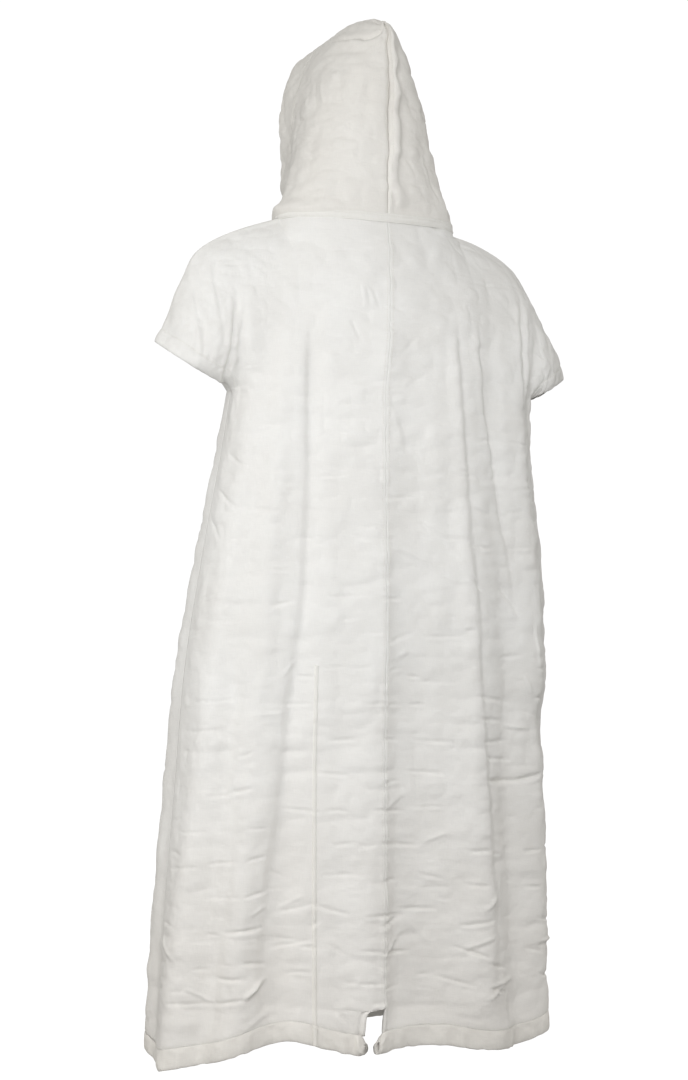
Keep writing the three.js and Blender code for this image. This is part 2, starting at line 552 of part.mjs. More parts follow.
// ---------- neck band: three rows round the neck, laid over hood and body ----------
function neckBand(name, material) {
  const steps = 12;
  const outer = [[], [], []];
  const inner = [[], [], []];
  const around = [];
  for (let i = -steps; i < steps; i++) around.push([true, i / steps]);
  for (let i = steps; i > -steps; i--) around.push([false, i / steps]);
  for (const [isBack, k] of around) {
    const side = k < 0 ? -1 : 1;
    const psi = isBack ? Math.abs(k) / 2 : 1 - Math.abs(k) / 2;
    const q = k * NECK_SHARE;
    const corner = Math.abs(k) > 0.999;
    // at the shoulder the band turns down along the shoulder seam
    const low = corner ? topLine(true, q + side * 0.014) : bodyPoint(isBack, q, BAND_REACH);
    const lowN = corner
      ? unit(add(ownNormal(true, q + side * 0.014, 0), ownNormal(false, q + side * 0.014, 0)))
      : ownNormal(isBack, q, BAND_REACH);
    const seam = hoodPoint(side, psi, 0);
    seam[0] = NECK_HALF_WIDTH * Math.sin(Math.PI * psi) * side;
    seam[2] -= 0.2;
    const high = hoodPoint(side, clamp(psi, 0, 0.97), BAND_REACH);
    const highN = hoodNormal(side, clamp(psi, 0.02, 0.97), BAND_REACH);
    if (psi < 1e-6 || psi > 0.999) { lowN[0] = 0; highN[0] = 0; high[0] = 0; low[0] = 0; }
    const seamN = unit(add(unit(lowN), unit(highN)));
    [[low, unit(lowN), BAND_LIFT], [seam, seamN, BAND_LIFT * 1.7], [high, unit(highN), BAND_LIFT]].forEach(([p, n, lift], r) => {
      outer[r].push(add(p, n, lift + BAND_WALL));
      inner[r].push(add(p, n, lift));
    });
  }
  const cols = around.length;
  const pos = [];
  for (const g of [outer, inner]) for (const r of g) for (const p of r) pos.push(...p);
  const idx = [];
  const V = (hole, i, j) => hole * 3 * cols + i * cols + (j % cols);
  const quad = (a, b, c, d) => idx.push(a, b, c, a, c, d);
  for (let j = 0; j < cols; j++) {
    for (let i = 0; i < 2; i++) {
      quad(V(0, i, j), V(0, i + 1, j), V(0, i + 1, j + 1), V(0, i, j + 1));
      quad(V(1, i, j), V(1, i, j + 1), V(1, i + 1, j + 1), V(1, i + 1, j));
    }
    quad(V(0, 0, j), V(0, 0, j + 1), V(1, 0, j + 1), V(1, 0, j));
    quad(V(0, 2, j), V(1, 2, j), V(1, 2, j + 1), V(0, 2, j + 1));
  }
  const geo = new THREE.BufferGeometry();
  geo.setAttribute('position', new THREE.Float32BufferAttribute(pos, 3));
  geo.setIndex(idx);
  const mesh = new THREE.Mesh(geo, material);
  mesh.name = name;
  return mesh;
}

// ---------- upright seam strip, laid on the left back panel and its casing ----------
function seamStrip(name, material) {
  const low = curve(UNDERARM, 'q', 'z', STRIP_Q);
  const edge = hemEdge(direction(true, STRIP_Q_HEM, HEM_LEVEL));
  const tOf = (z) => 1 + (low - z) / (low - edge);
  const zs = [...spread(STRIP_TOP, edge + CASING_DEPTH + 3, 12), edge + CASING_DEPTH, edge + CASING_DEPTH / 2, edge + 4];
  const half = STRIP_WIDTH / 2 / seamArc / 85.5;
  const outer = [];
  const inner = [];
  zs.forEach((z, i) => {
    const over = i > 12 ? CASING_PROUD + 0.35 : 0;
    const lift = STRIP_LIFT + over + (i <= 12 ? 0.25 : 0);
    const o = [];
    const n = [];
    const q0 = STRIP_Q_HEM + (STRIP_Q - STRIP_Q_HEM) * (z - edge) / (STRIP_TOP - edge);
    for (const k of [-1, 0, 1]) {
      const q = q0 + half * k;
      const p = bodyPoint(true, q, tOf(z));
      const m = bodyNormal(true, q, tOf(z));
      o.push(add(p, m, lift + STRIP_WALL));
      n.push(add(p, m, lift));
    }
    outer.push(o);
    inner.push(n);
  });
  const mesh = new THREE.Mesh(wall(outer, inner, true), material);
  mesh.name = name;
  return mesh;
}

// ---------- the poncho ----------
const cloth = () => new THREE.MeshStandardMaterial({ color: 0xe9e8e2, roughness: 0.95, metalness: 0 });
const group = new THREE.Group();
const qOf = (mm) => mm / seamArc / 85.5;
const noseFrom = (start) => (q) => {
  const d = Math.abs(q - start) / qOf(CASING_NOSE.length);
  const full = CASING_NOSE.height / CASING_DEPTH;
  return full + (1 - full) * smooth(d);
};
const leftStart = qOf(CASING_NOSE.leftAt);
const rightStart = qOf(CASING_NOSE.rightAt);
group.add(panel('back_left', true, columnsOf.left, cloth()));
group.add(panel('back_right', true, columnsOf.right, cloth()));
group.add(panel('front', false, columnsOf.front, cloth()));
group.add(hoodHalf('hood_left', 1, cloth()));
group.add(hoodHalf('hood_right', -1, cloth()));
group.add(neckBand('neck_band', cloth()));
const END = 0.9995;
// the casings' columns stand under the panels' columns; the ends at the slit reach past them
const under = (side) => BACK_COLUMNS
  .map((q) => side * Math.min(q + slitShift(side, CASING_DEPTH) * (1 - q), END));
const leftColumns = [leftStart, leftStart + qOf(2.5), ...under(1)];
const rightColumns = [...under(-1).reverse(), rightStart - qOf(9), rightStart - qOf(4), rightStart];
const frontColumns = columnsOf.front.map((q) => clamp(q, -END, END));
group.add(casing('hem_back_left', true, leftColumns, noseFrom(leftStart), cloth()));
group.add(casing('hem_back_right', true, rightColumns, noseFrom(rightStart), cloth()));
group.add(casing('hem_front', false, frontColumns, null, cloth()));
group.add(seamStrip('seam_strip', cloth()));

export default group;
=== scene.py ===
"""The looks of the hooded poncho: crinkled off-white cotton, worn with the hood up.
Lengths in the tables are millimetres, as in the CAD part; the meshes are in metres."""
import math

import bpy
import numpy as np
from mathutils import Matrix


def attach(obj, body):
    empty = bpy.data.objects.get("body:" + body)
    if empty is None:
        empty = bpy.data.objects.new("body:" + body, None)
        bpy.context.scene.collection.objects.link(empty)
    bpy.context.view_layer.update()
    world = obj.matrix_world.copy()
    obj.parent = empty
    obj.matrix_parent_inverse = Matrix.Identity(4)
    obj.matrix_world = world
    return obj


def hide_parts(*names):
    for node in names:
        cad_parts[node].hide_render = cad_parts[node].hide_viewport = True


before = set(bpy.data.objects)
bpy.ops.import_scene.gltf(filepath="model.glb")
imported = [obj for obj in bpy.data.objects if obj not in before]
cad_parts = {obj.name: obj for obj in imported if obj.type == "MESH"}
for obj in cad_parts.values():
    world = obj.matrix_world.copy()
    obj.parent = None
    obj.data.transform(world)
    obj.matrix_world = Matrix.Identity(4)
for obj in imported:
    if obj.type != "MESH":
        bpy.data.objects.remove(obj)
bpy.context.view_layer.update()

# ---------------------------------------------------------------- sizes and tables
MM = 0.001
CLOTH = 1.5                 # thickness of the cloth shells
NECK_HALF_WIDTH, NECK_BACK, NECK_FRONT = 125, 75, 98
NECK_SIDE_Z, NECK_BACK_DROP, NECK_FRONT_DROP, NECK_SHARE = -8, 5, 60, 0.33
YOKE_BOTTOM, HEM_LEVEL, RING_POWER = -240, -1104, 0.92
CASING_DEPTH, CASING_PROUD, CASING_THICK = 27, 0.6, 5.4
BAND_REACH = 0.023
STRIP_Q, STRIP_Q_HEM, STRIP_TOP, STRIP_WIDTH = 0.237, 0.206, -598, 7
SEAM_ARC = 5.9              # millimetres of hem for each degree near the back seam
SLEEVE_HEM, FACE_HEM = 20, 46

# height, half width, half depth, centre x, centre y
BODY = [
    (-1104, 281, 143, 10, -15), (-1000, 279, 140, 8, -12), (-900, 276, 136, 6, -9),
    (-750, 267, 128, 3, -4), (-600, 262, 119, -5, 1), (-450, 245, 110, -13, 4),
    (-330, 226, 104, -18, 5), (-240, 216, 100, -24, 5),
]
SEAM = [(-1104, 3.8), (-900, 4.1), (-650, 5.0), (-450, 6.4), (-240, 9.0)]
# upright folds: direction, height and half width, each at underarm, middle and hem
FOLDS = [
    ((9.5, 9, 8), (2, 4, 7), (5, 6, 8)), ((-1, -3, -6), (-2, -5, -9), (4.5, 6, 8)),
    ((-20, -23, -29), (4, 8, 10), (6, 7, 9)), ((-33, -37, -44), (-5, -8, -10), (4.5, 5.5, 6)),
    ((-50, -54, -60), (5, 7, 9), (7, 8, 8)), ((-66, -70, -76), (-2, -4, -6), (5, 5, 6)),
    ((37, 33, 33), (-3, -5, -10), (5, 6, 8)), ((50, 45, 49), (4, 7, 12), (5.5, 6, 7.5)),
    ((60, 54, 60), (0, -3, -9), (4, 5, 6)), ((68, 66, 76), (2, 6, 11), (8, 8, 9)),
    ((90, 90, 96), (0, -3, -7), (6, 7, 7)), ((100, 102, 108), (3, 6, 10), (7, 8, 9)),
    ((118, 122, 127), (-3, -7, -12), (7, 8, 9)), ((140, 146, 152), (4, 9, 14), (7, 8, 10)),
    ((168, 172, 176), (-4, -7, -12), (8, 9, 10)), ((-162, -160, -156), (4, 9, 14), (7, 9, 10)),
    ((-140, -136, -130), (-3, -7, -12), (7, 8, 9)), ((-116, -112, -106), (3, 7, 11), (7, 8, 9)),
]
# direction, rise of the hem's edge above its general level
HEM = [
    (-180, 20), (-150, 22), (-120, 18), (-95, 18), (-75, 18), (-62, 12), (-48, 0), (-36, -2),
    (-24, 2), (-14, 12), (-6, 14), (2, 12), (10, 10), (18, 18), (27, 28), (36, 24), (46, 12),
    (58, 0), (70, -6), (82, -12), (95, -8), (110, 6), (130, 16), (155, 20), (180, 20),
]
# shoulder line: x and z on the wearer's left, x and z on the right
SHOULDER = [
    (125, -8, 125, -8), (179, -27, 168, -20), (220, -47, 208, -40), (243, -67, 235, -66),
    (256, -94, 260, -109), (267, -117, 275, -134), (279, -150, 294, -163), (296, -182, 306, -196),
]
UNDERARM = [(-1, -229), (-0.6, -240), (0, -240), (0.6, -240), (1, -237)]
# across, share of straight fall, speed of the sideways move on the left and on the right
YOKE = [(0, 0.80, 1.6, 1.6), (0.25, 0.62, 1.6, 1.6), (0.5, 0.32, 1.6, 1.6), (0.75, 0.34, 1.9, 1.5), (1, 0.80, 3.2, 0.9)]
SLEEVE_EDGE = {
    (True, 1): (262, 46, -217), (False, 1): (246, -40, -190),
    (True, -1): (-256, 43, -221), (False, -1): (-277, -35, -222),
}
# armpit creases: across at the underarm, across at the top, depth, width
ARMPIT = [(0.80, 0.60, -5, 0.050), (-0.80, -0.70, -6, 0.045)]
SMOOTH_TOP = [-1, -0.8, -0.62, -0.46, -0.2, 0, 0.2, 0.46, 0.62, 0.8, 1]
# hood by height: half width at the side, at the face, reach behind and in front
HOOD = [
    (0, 125, 92, 75, 98), (0.12, 115, 88, 74, 102), (0.22, 104, 84, 75, 104), (0.35, 93, 81, 77, 105),
    (0.55, 79, 80, 79, 105), (0.68, 65, 80, 80, 105), (0.8, 50, 71, 79, 105), (0.9, 30, 51, 76, 105),
    (0.96, 15, 26, 71, 104), (1, 0.2, 0.2, 60, 103),
]
CROWN = [(0, 245), (0.15, 253), (0.5, 266), (1, 268)]
PUFF_AT, PUFF_WIDE, PUFF_OUT = 0.034, 0.024, 5.5
# slit: height above the hem's edge, and the left and right edges' distance from the seam
SLIT = [(18, 25.5, -3), (27, 27.5, 0), (36, 27, 2), (46, 27, 3), (52, 25.5, 3), (56, 21, 2)]
SLIT_TOP, SLIT_SPREAD = 56.4, 0.17
NOSE_LEFT, NOSE_RIGHT, NOSE_HEIGHT, NOSE_LENGTH = 20, 12, 16, 9

# ---------------------------------------------------------------- small maths


def curve(rows, col, x, extend=False):
    """A smooth curve through one column of a table, against its first column."""
    r = np.asarray(rows, float)
    X, Y = r[:, 0], r[:, col]
    m = np.empty(len(X))
    m[1:-1] = (Y[2:] - Y[:-2]) / (X[2:] - X[:-2])
    m[0] = (Y[1] - Y[0]) / (X[1] - X[0])
    m[-1] = (Y[-1] - Y[-2]) / (X[-1] - X[-2])
    x = np.asarray(x, float)
    xc = np.clip(x, X[0], X[-1])
    i = np.clip(np.searchsorted(X, xc) - 1, 0, len(X) - 2)
    h = X[i + 1] - X[i]
    t = (xc - X[i]) / h
    t2, t3 = t * t, t * t * t
    y = (2 * t3 - 3 * t2 + 1) * Y[i] + (t3 - 2 * t2 + t) * h * m[i]
    y = y + (-2 * t3 + 3 * t2) * Y[i + 1] + (t3 - t2) * h * m[i + 1]
    return y + m[-1] * np.maximum(x - X[-1], 0) if extend else y


def smooth(x):
    c = np.clip(x, 0, 1)
    return c * c * (3 - 2 * c)


def bell(x):
    return np.exp(-x * x)


def unit(v):
    return v / np.maximum(np.linalg.norm(v, axis=-1, keepdims=True), 1e-9)


def three(values, z):
    return curve([(HEM_LEVEL, values[2]), (-600, values[1]), (YOKE_BOTTOM, values[0])], 1, z)


class Noise:
    """Smooth seeded noise between about -1 and 1, with a period of 64 cells."""

    def __init__(self, seed):
        self.g = np.random.RandomState(seed).rand(64, 64) * 2 - 1

    def __call__(self, x, y):
        xi, yi = np.floor(x).astype(int), np.floor(y).astype(int)
        fx, fy = x - xi, y - yi
        fx, fy = (f * f * f * (f * (f * 6 - 15) + 10) for f in (fx, fy))
        g = self.g
        a, b = g[yi % 64, xi % 64], g[yi % 64, (xi + 1) % 64]
        c, d = g[(yi + 1) % 64, xi % 64], g[(yi + 1) % 64, (xi + 1) % 64]
        return (a + (b - a) * fx) * (1 - fy) + (c + (d - c) * fx) * fy


# ---------------------------------------------------------------- the body's surface


def ring_point(phi, z, share):
    a, b = curve(BODY, 1, z, True), curve(BODY, 2, z, True)
    s, c = np.sin(phi), np.cos(phi)
    length = np.hypot(s * b, c * a)
    deg = np.degrees(phi)
    d = np.zeros(np.broadcast(phi, z).shape)
    for at, out, wide in FOLDS:
        k = (np.mod(deg - three(at, z) + 180, 360) - 180) / three(wide, z)
        d = d + three(out, z) * bell(k)
    d = d * share
    x = curve(BODY, 3, z, True) + a * np.sign(s) * np.abs(s) ** RING_POWER + d * s * b / length
    y = curve(BODY, 4, z, True) + b * np.sign(c) * np.abs(c) ** RING_POWER + d * c * a / length
    return x, y


def hem_edge(phi):
    return HEM_LEVEL + curve(HEM, 1, np.mod(np.degrees(phi) + 180, 360) - 180)


def shoulder_rows(side):
    x, z = (0, 1) if side > 0 else (2, 3)
    t = np.asarray(SHOULDER, float)
    run = np.concatenate([[0], np.cumsum(np.hypot(np.diff(t[:, x]), np.diff(t[:, z])))])
    return np.stack([run / run[-1], t[:, x], t[:, z]], 1)


SHOULDERS = {1: shoulder_rows(1), -1: shoulder_rows(-1)}


def neck_line(is_back, angle):
    c = np.cos(angle)
    drop = NECK_BACK_DROP * c * c if is_back else NECK_FRONT_DROP * np.abs(c) ** 1.5
    return NECK_HALF_WIDTH * np.sin(angle), (NECK_BACK if is_back else -NECK_FRONT) * c, NECK_SIDE_Z - drop


def top_line(is_back, q):
    q = np.asarray(q, float)
    aq = np.abs(q)
    nx, ny, nz = neck_line(is_back, (np.pi / 2) * np.minimum(aq / NECK_SHARE, 1))
    f = np.clip((aq - NECK_SHARE) / (1 - NECK_SHARE), 0, 1)
    sx = np.where(q > 0, curve(SHOULDERS[1], 1, f), curve(SHOULDERS[-1], 1, f))
    sz = np.where(q > 0, curve(SHOULDERS[1], 2, f), curve(SHOULDERS[-1], 2, f))
    neck = aq < NECK_SHARE
    return np.where(neck, nx, sx) * np.sign(q), np.where(neck, ny, 0), np.where(neck, nz, sz)


SOFT = {b: np.stack([np.asarray(SMOOTH_TOP, float), *top_line(b, SMOOTH_TOP)], 1) for b in (True, False)}


def direction(is_back, q, z):
    if not is_back:
        return np.pi - q * np.pi / 2
    seam = np.radians(curve(SEAM, 1, z))
    return seam + np.where(q >= 0, (np.pi / 2 - seam) * q, (np.pi / 2 + seam) * q)


def yoke_point(is_back, q, h):
    k = smooth(h / 0.45)
    S = [p + (curve(SOFT[is_back], i + 1, q) - p) * k for i, p in enumerate(top_line(is_back, q))]
    low = curve(UNDERARM, 1, q)
    aq = np.abs(q)
    straight = curve(YOKE, 1, aq)
    speed = np.where(q > 0, curve(YOKE, 2, aq), curve(YOKE, 3, aq))
    s = np.sin(np.pi * h / 2)
    back = s ** (0.9 + 0.25 * np.clip(1 - aq / 0.5, 0, 1))
    down = (1 - np.cos(np.pi * h / 2)) * (1 - straight) + h * straight
    z = S[2] + (low - S[2]) * down
    rx, ry = ring_point(direction(is_back, q, YOKE_BOTTOM), z, h ** 1.5)
    return np.stack([S[0] + (rx - S[0]) * s ** speed, S[1] + (ry - S[1]) * back, z], -1)


def body_point(is_back, q, t):
    """q across from the wearer's right (-1) to left (1); t from 0 at the top line over
    1 at the underarm to 2 at the hem's edge."""
    q, t = np.broadcast_arrays(np.asarray(q, float), np.asarray(t, float))
    low = curve(UNDERARM, 1, q)
    crease = np.zeros(q.shape)
    if is_back:
        for at, top, depth, wide in ARMPIT:
            qc = at + (top - at) * (1 - smooth(np.clip(t, 0, 1)))
            grow = np.where(t < 1, smooth((t - 0.15) / 0.5), np.clip(1 - (t - 1) / 0.25, 0, 1) ** 2)
            crease = crease + depth * bell((q - qc) / wide) * grow
    # below the underarm
    edge = hem_edge(direction(is_back, q, HEM_LEVEL))
    z = low + (edge - low) * np.clip(t - 1, 0, 1)
    x, y = ring_point(direction(is_back, q, np.minimum(z, YOKE_BOTTOM)), z, 1)
    skirt = np.stack([x, y, z], -1)
    # above it
    h = np.clip(t, 0, 1)
    yoke = yoke_point(is_back, q, h)
    heights, place = np.unique(h, return_inverse=True)
    place = place.reshape(h.shape)
    for side in (1, -1):
        on = (q > 0) if side > 0 else (q <= 0)
        weight = smooth((np.abs(q) - 0.5) / 0.5) * on
        if weight.max() <= 0:
            continue
        ends = yoke_point(is_back, np.full(2, float(side)), np.asarray([0.0, 1.0]))
        hh = heights[:, None]
        want = ends[0] * (1 - hh) * (1 - 2 * hh) + np.asarray(SLEEVE_EDGE[(is_back, side)], float) * 4 * hh * (1 - hh)
        want = want + ends[1] * hh * (2 * hh - 1)
        move = want - yoke_point(is_back, np.full(len(heights), float(side)), heights)
        yoke = yoke + move[place] * weight[..., None]
    p = np.where((t > 1)[..., None], skirt, yoke)
    p[..., 1] += crease
    return p


def body_normal(is_back, q, t):
    q, t = np.broadcast_arrays(np.asarray(q, float), np.asarray(t, float))

    def own(back):
        e = 0.006
        tt = np.clip(t, 0.012, 1.995)
        qa, qb = np.clip(q - e, -1, 1), np.clip(q + e, -1, 1)
        ta, tb = np.clip(tt - e, 0, 2), np.clip(tt + e, 0, 2)
        n = np.cross(body_point(back, qb, tt) - body_point(back, qa, tt), body_point(back, q, tb) - body_point(back, q, ta))
        return unit(n * (1 if back else -1))

    n = own(is_back)
    # along the shoulder and side seams both panels lean to one shared normal
    shoulder = smooth(1 - t / 0.06) * smooth((np.abs(q) - NECK_SHARE + 0.02) / 0.02)
    side = smooth(1 - (1 - np.abs(q)) / 0.02) * smooth((t - 0.97) / 0.03)
    w = np.maximum(shoulder, side)
    if w.max() > 0:
        sq = np.where(side > 0, np.sign(q), q)
        st = np.where(shoulder > side, 0, t)
        q0, t0 = q, t
        q, t = sq, st
        both = unit(own(True) + own(False))
        q, t = q0, t0
        n = unit(n * (1 - w[..., None]) + both * w[..., None])
    return n


# ---------------------------------------------------------------- the hood's surface


def hood_point(side, psi, h):
    psi, h = np.broadcast_arrays(np.asarray(psi, float), np.asarray(h, float))
    g = np.where(h < 0.5, h * 1.1, 0.55 + 0.45 * np.sin((h - 0.5) * np.pi))
    w, face, back, front = (curve(HOOD, i, g) for i in (1, 2, 3, 4))
    rear = psi < 0.5
    angle = np.pi * np.minimum(psi, 0.5)
    fwd = np.clip(2 * psi - 1, 0, 1)
    x = np.where(rear, w * np.sin(angle) ** 0.9, w + (face - w) * smooth(fwd))
    y = np.where(rear, back * np.maximum(np.cos(angle), 0) ** 0.9, -front * fwd)
    b = [np.where(rear, p, r) for p, r in zip(neck_line(True, np.pi * psi), neck_line(False, np.pi * (1 - psi)))]
    base = b[2] + 0.5
    z = base + (curve(CROWN, 1, psi) - base) * g
    m = smooth(1 - h / 0.34) * fwd + np.clip(1 - h / 0.1, 0, 1) * (1 - fwd)
    x = x * (1 - m) + b[0] * m
    y = y * (1 - m) + b[1] * m
    if side < 0:
        y = y + PUFF_OUT * bell((psi - PUFF_AT) / PUFF_WIDE) * smooth(h / 0.12) * smooth((1 - h) / 0.12)
    return np.stack([side * np.maximum(x, 0.2), y, z], -1)


def hood_normal(side, psi, h):
    psi, h = np.broadcast_arrays(np.asarray(psi, float), np.asarray(h, float))
    p, k, e = np.clip(psi, 0.01, 1), np.clip(h, 0.01, 0.97), 0.008
    pa, pb, ka, kb = np.clip(p - e, 0, 1), np.clip(p + e, 0, 1), np.clip(k - e, 0, 1), np.clip(k + e, 0, 1)
    n = np.cross(hood_point(side, pb, k) - hood_point(side, pa, k), hood_point(side, p, kb) - hood_point(side, p, ka)) * -side
    n = unit(n)
    n[..., 0] *= smooth(psi / 0.03) * smooth((1 - h) / 0.02)
    return unit(n)


# ---------------------------------------------------------------- creases


def along(P, axis):
    """Running length of a grid of points along one axis."""
    d = np.linalg.norm(np.diff(P, axis=axis), axis=-1)
    pad = [(0, 0), (0, 0)]
    pad[axis] = (1, 0)
    return np.cumsum(np.pad(d, pad), axis=axis)


def crease(F, S, Z, s, z, length, tilt, depth, width=3.0, bow=0.0, lip=0.24, pull=0.35):
    """Presses one crease into the field F: a trough with raised lips, pinched at its
    middle, and the soft hollow round it. Depth below 0 is a ridge."""
    half = length / 2
    reach = half + 26
    rows = np.where((Z.min(1) < z + reach) & (Z.max(1) > z - reach))[0]
    if not len(rows):
        return
    r = slice(rows[0], rows[-1] + 1)
    c, k = math.cos(math.radians(tilt)), math.sin(math.radians(tilt))
    ds, dz = S[r] - s, Z[r] - z
    u, v = ds * c + dz * k, -ds * k + dz * c
    v = v - bow * ((u / half) ** 2 - 0.3)
    end = np.clip(1 - (u / half) ** 2, 0, 1) ** 0.8
    width = width * 0.66
    h = -bell(v / width) + lip * bell((v + 2.4 * width) / (1.8 * width)) + 0.4 * lip * bell((v - 2.8 * width) / (2 * width))
    F[r] += depth * (h * end - pull * bell(u / (1.25 * half)) * bell(v / 13))


def brick_creases(F, S, Z, strength, seed, s_range, z_range, pitch=46, brick=62):
    """The crinkle of the cloth: rows of short level creases, staggered like bricks,
    none quite like the next."""
    rnd = np.random.RandomState(seed)
    z = z_range[0]
    k = 0
    while z < z_range[1]:
        s = s_range[0] + (brick / 2 if k % 2 else 0) + rnd.uniform(-10, 10)
        while s < s_range[1]:
            a = strength(s, z)
            jz, js = rnd.uniform(-7, 7), rnd.uniform(-9, 9)
            length = rnd.uniform(20, 54)
            tilt = rnd.normal(0, 5)
            depth = a * BRICK_GAIN * rnd.uniform(0.55, 1.35)
            wide, bow, skip = rnd.uniform(2.2, 3.6), rnd.uniform(-2.5, 2.5), rnd.rand()
            if skip > 0.10:
                crease(F, S, Z, s + js, z + jz, length, tilt, depth, wide, bow)
            if skip > 0.55:
                # a small slanted fold that runs off the crease's end
                side = 1 if rnd.rand() < 0.5 else -1
                crease(F, S, Z, s + js + side * length * 0.45, z + jz + rnd.uniform(6, 14), rnd.uniform(14, 30),
                       side * rnd.uniform(35, 75), -0.55 * depth, rnd.uniform(2.5, 4), 0, 0.3, 0)
            s += brick * rnd.uniform(0.8, 1.2)
        z += pitch * rnd.uniform(0.88, 1.12)
        k += 1


NOISES = [Noise(k) for k in (11, 23, 37, 41)]
MARK_GAIN, BRICK_GAIN, YOKE_GAIN, LONGER = 1.4, 1.3, 1.8, 1.35


def soft_field(S, V, scale=1.0):
    """Puffs between the creases, and the small uneven crinkle of the cloth."""
    n1, n2, n3, n4 = NOISES
    puff = n1(S / 44 + 20, V / 36 + 20) * 0.75 + n2(S / 24 + 7, V / 20 + 9) * 0.45
    fine = n3(S / 11 + 31, V / 9 + 3) * 0.28
    wander = n4(S / 95 + 13, V / 210 + 5) * 1.6
    # crumpled facets that meet in faint random creases
    crumple = np.abs(n2(S / 38 + 3, V / 30 + 11)) * 1.5 + np.abs(n3(S / 19 + 17, V / 17 + 23)) * 0.8
    crumple = crumple + np.abs(n1(S / 60 + 41, V / 24 + 33)) * 1.1
    return (puff + fine + crumple - 1.2) * scale + wander


def back_strength(s, z):
    up = float(curve([(-1104, 1.30), (-900, 1.20), (-700, 0.95), (-500, 0.62), (-300, 0.48), (-150, 0.42), (0, 0.36)], 1, z))
    placed = float(smooth((-430 - z) / 60)) * float(smooth((310 - abs(s)) / 20))
    up *= 1 + 0.35 * float(smooth((-s - 60) / 120)) + 0.10 * float(smooth((s - 200) / 120))
    return up * (1 - 0.72 * placed)


def front_strength(s, z):
    return float(curve([(-1104, 1.25), (-900, 1.15), (-600, 0.85), (-300, 0.55), (0, 0.45)], 1, z))


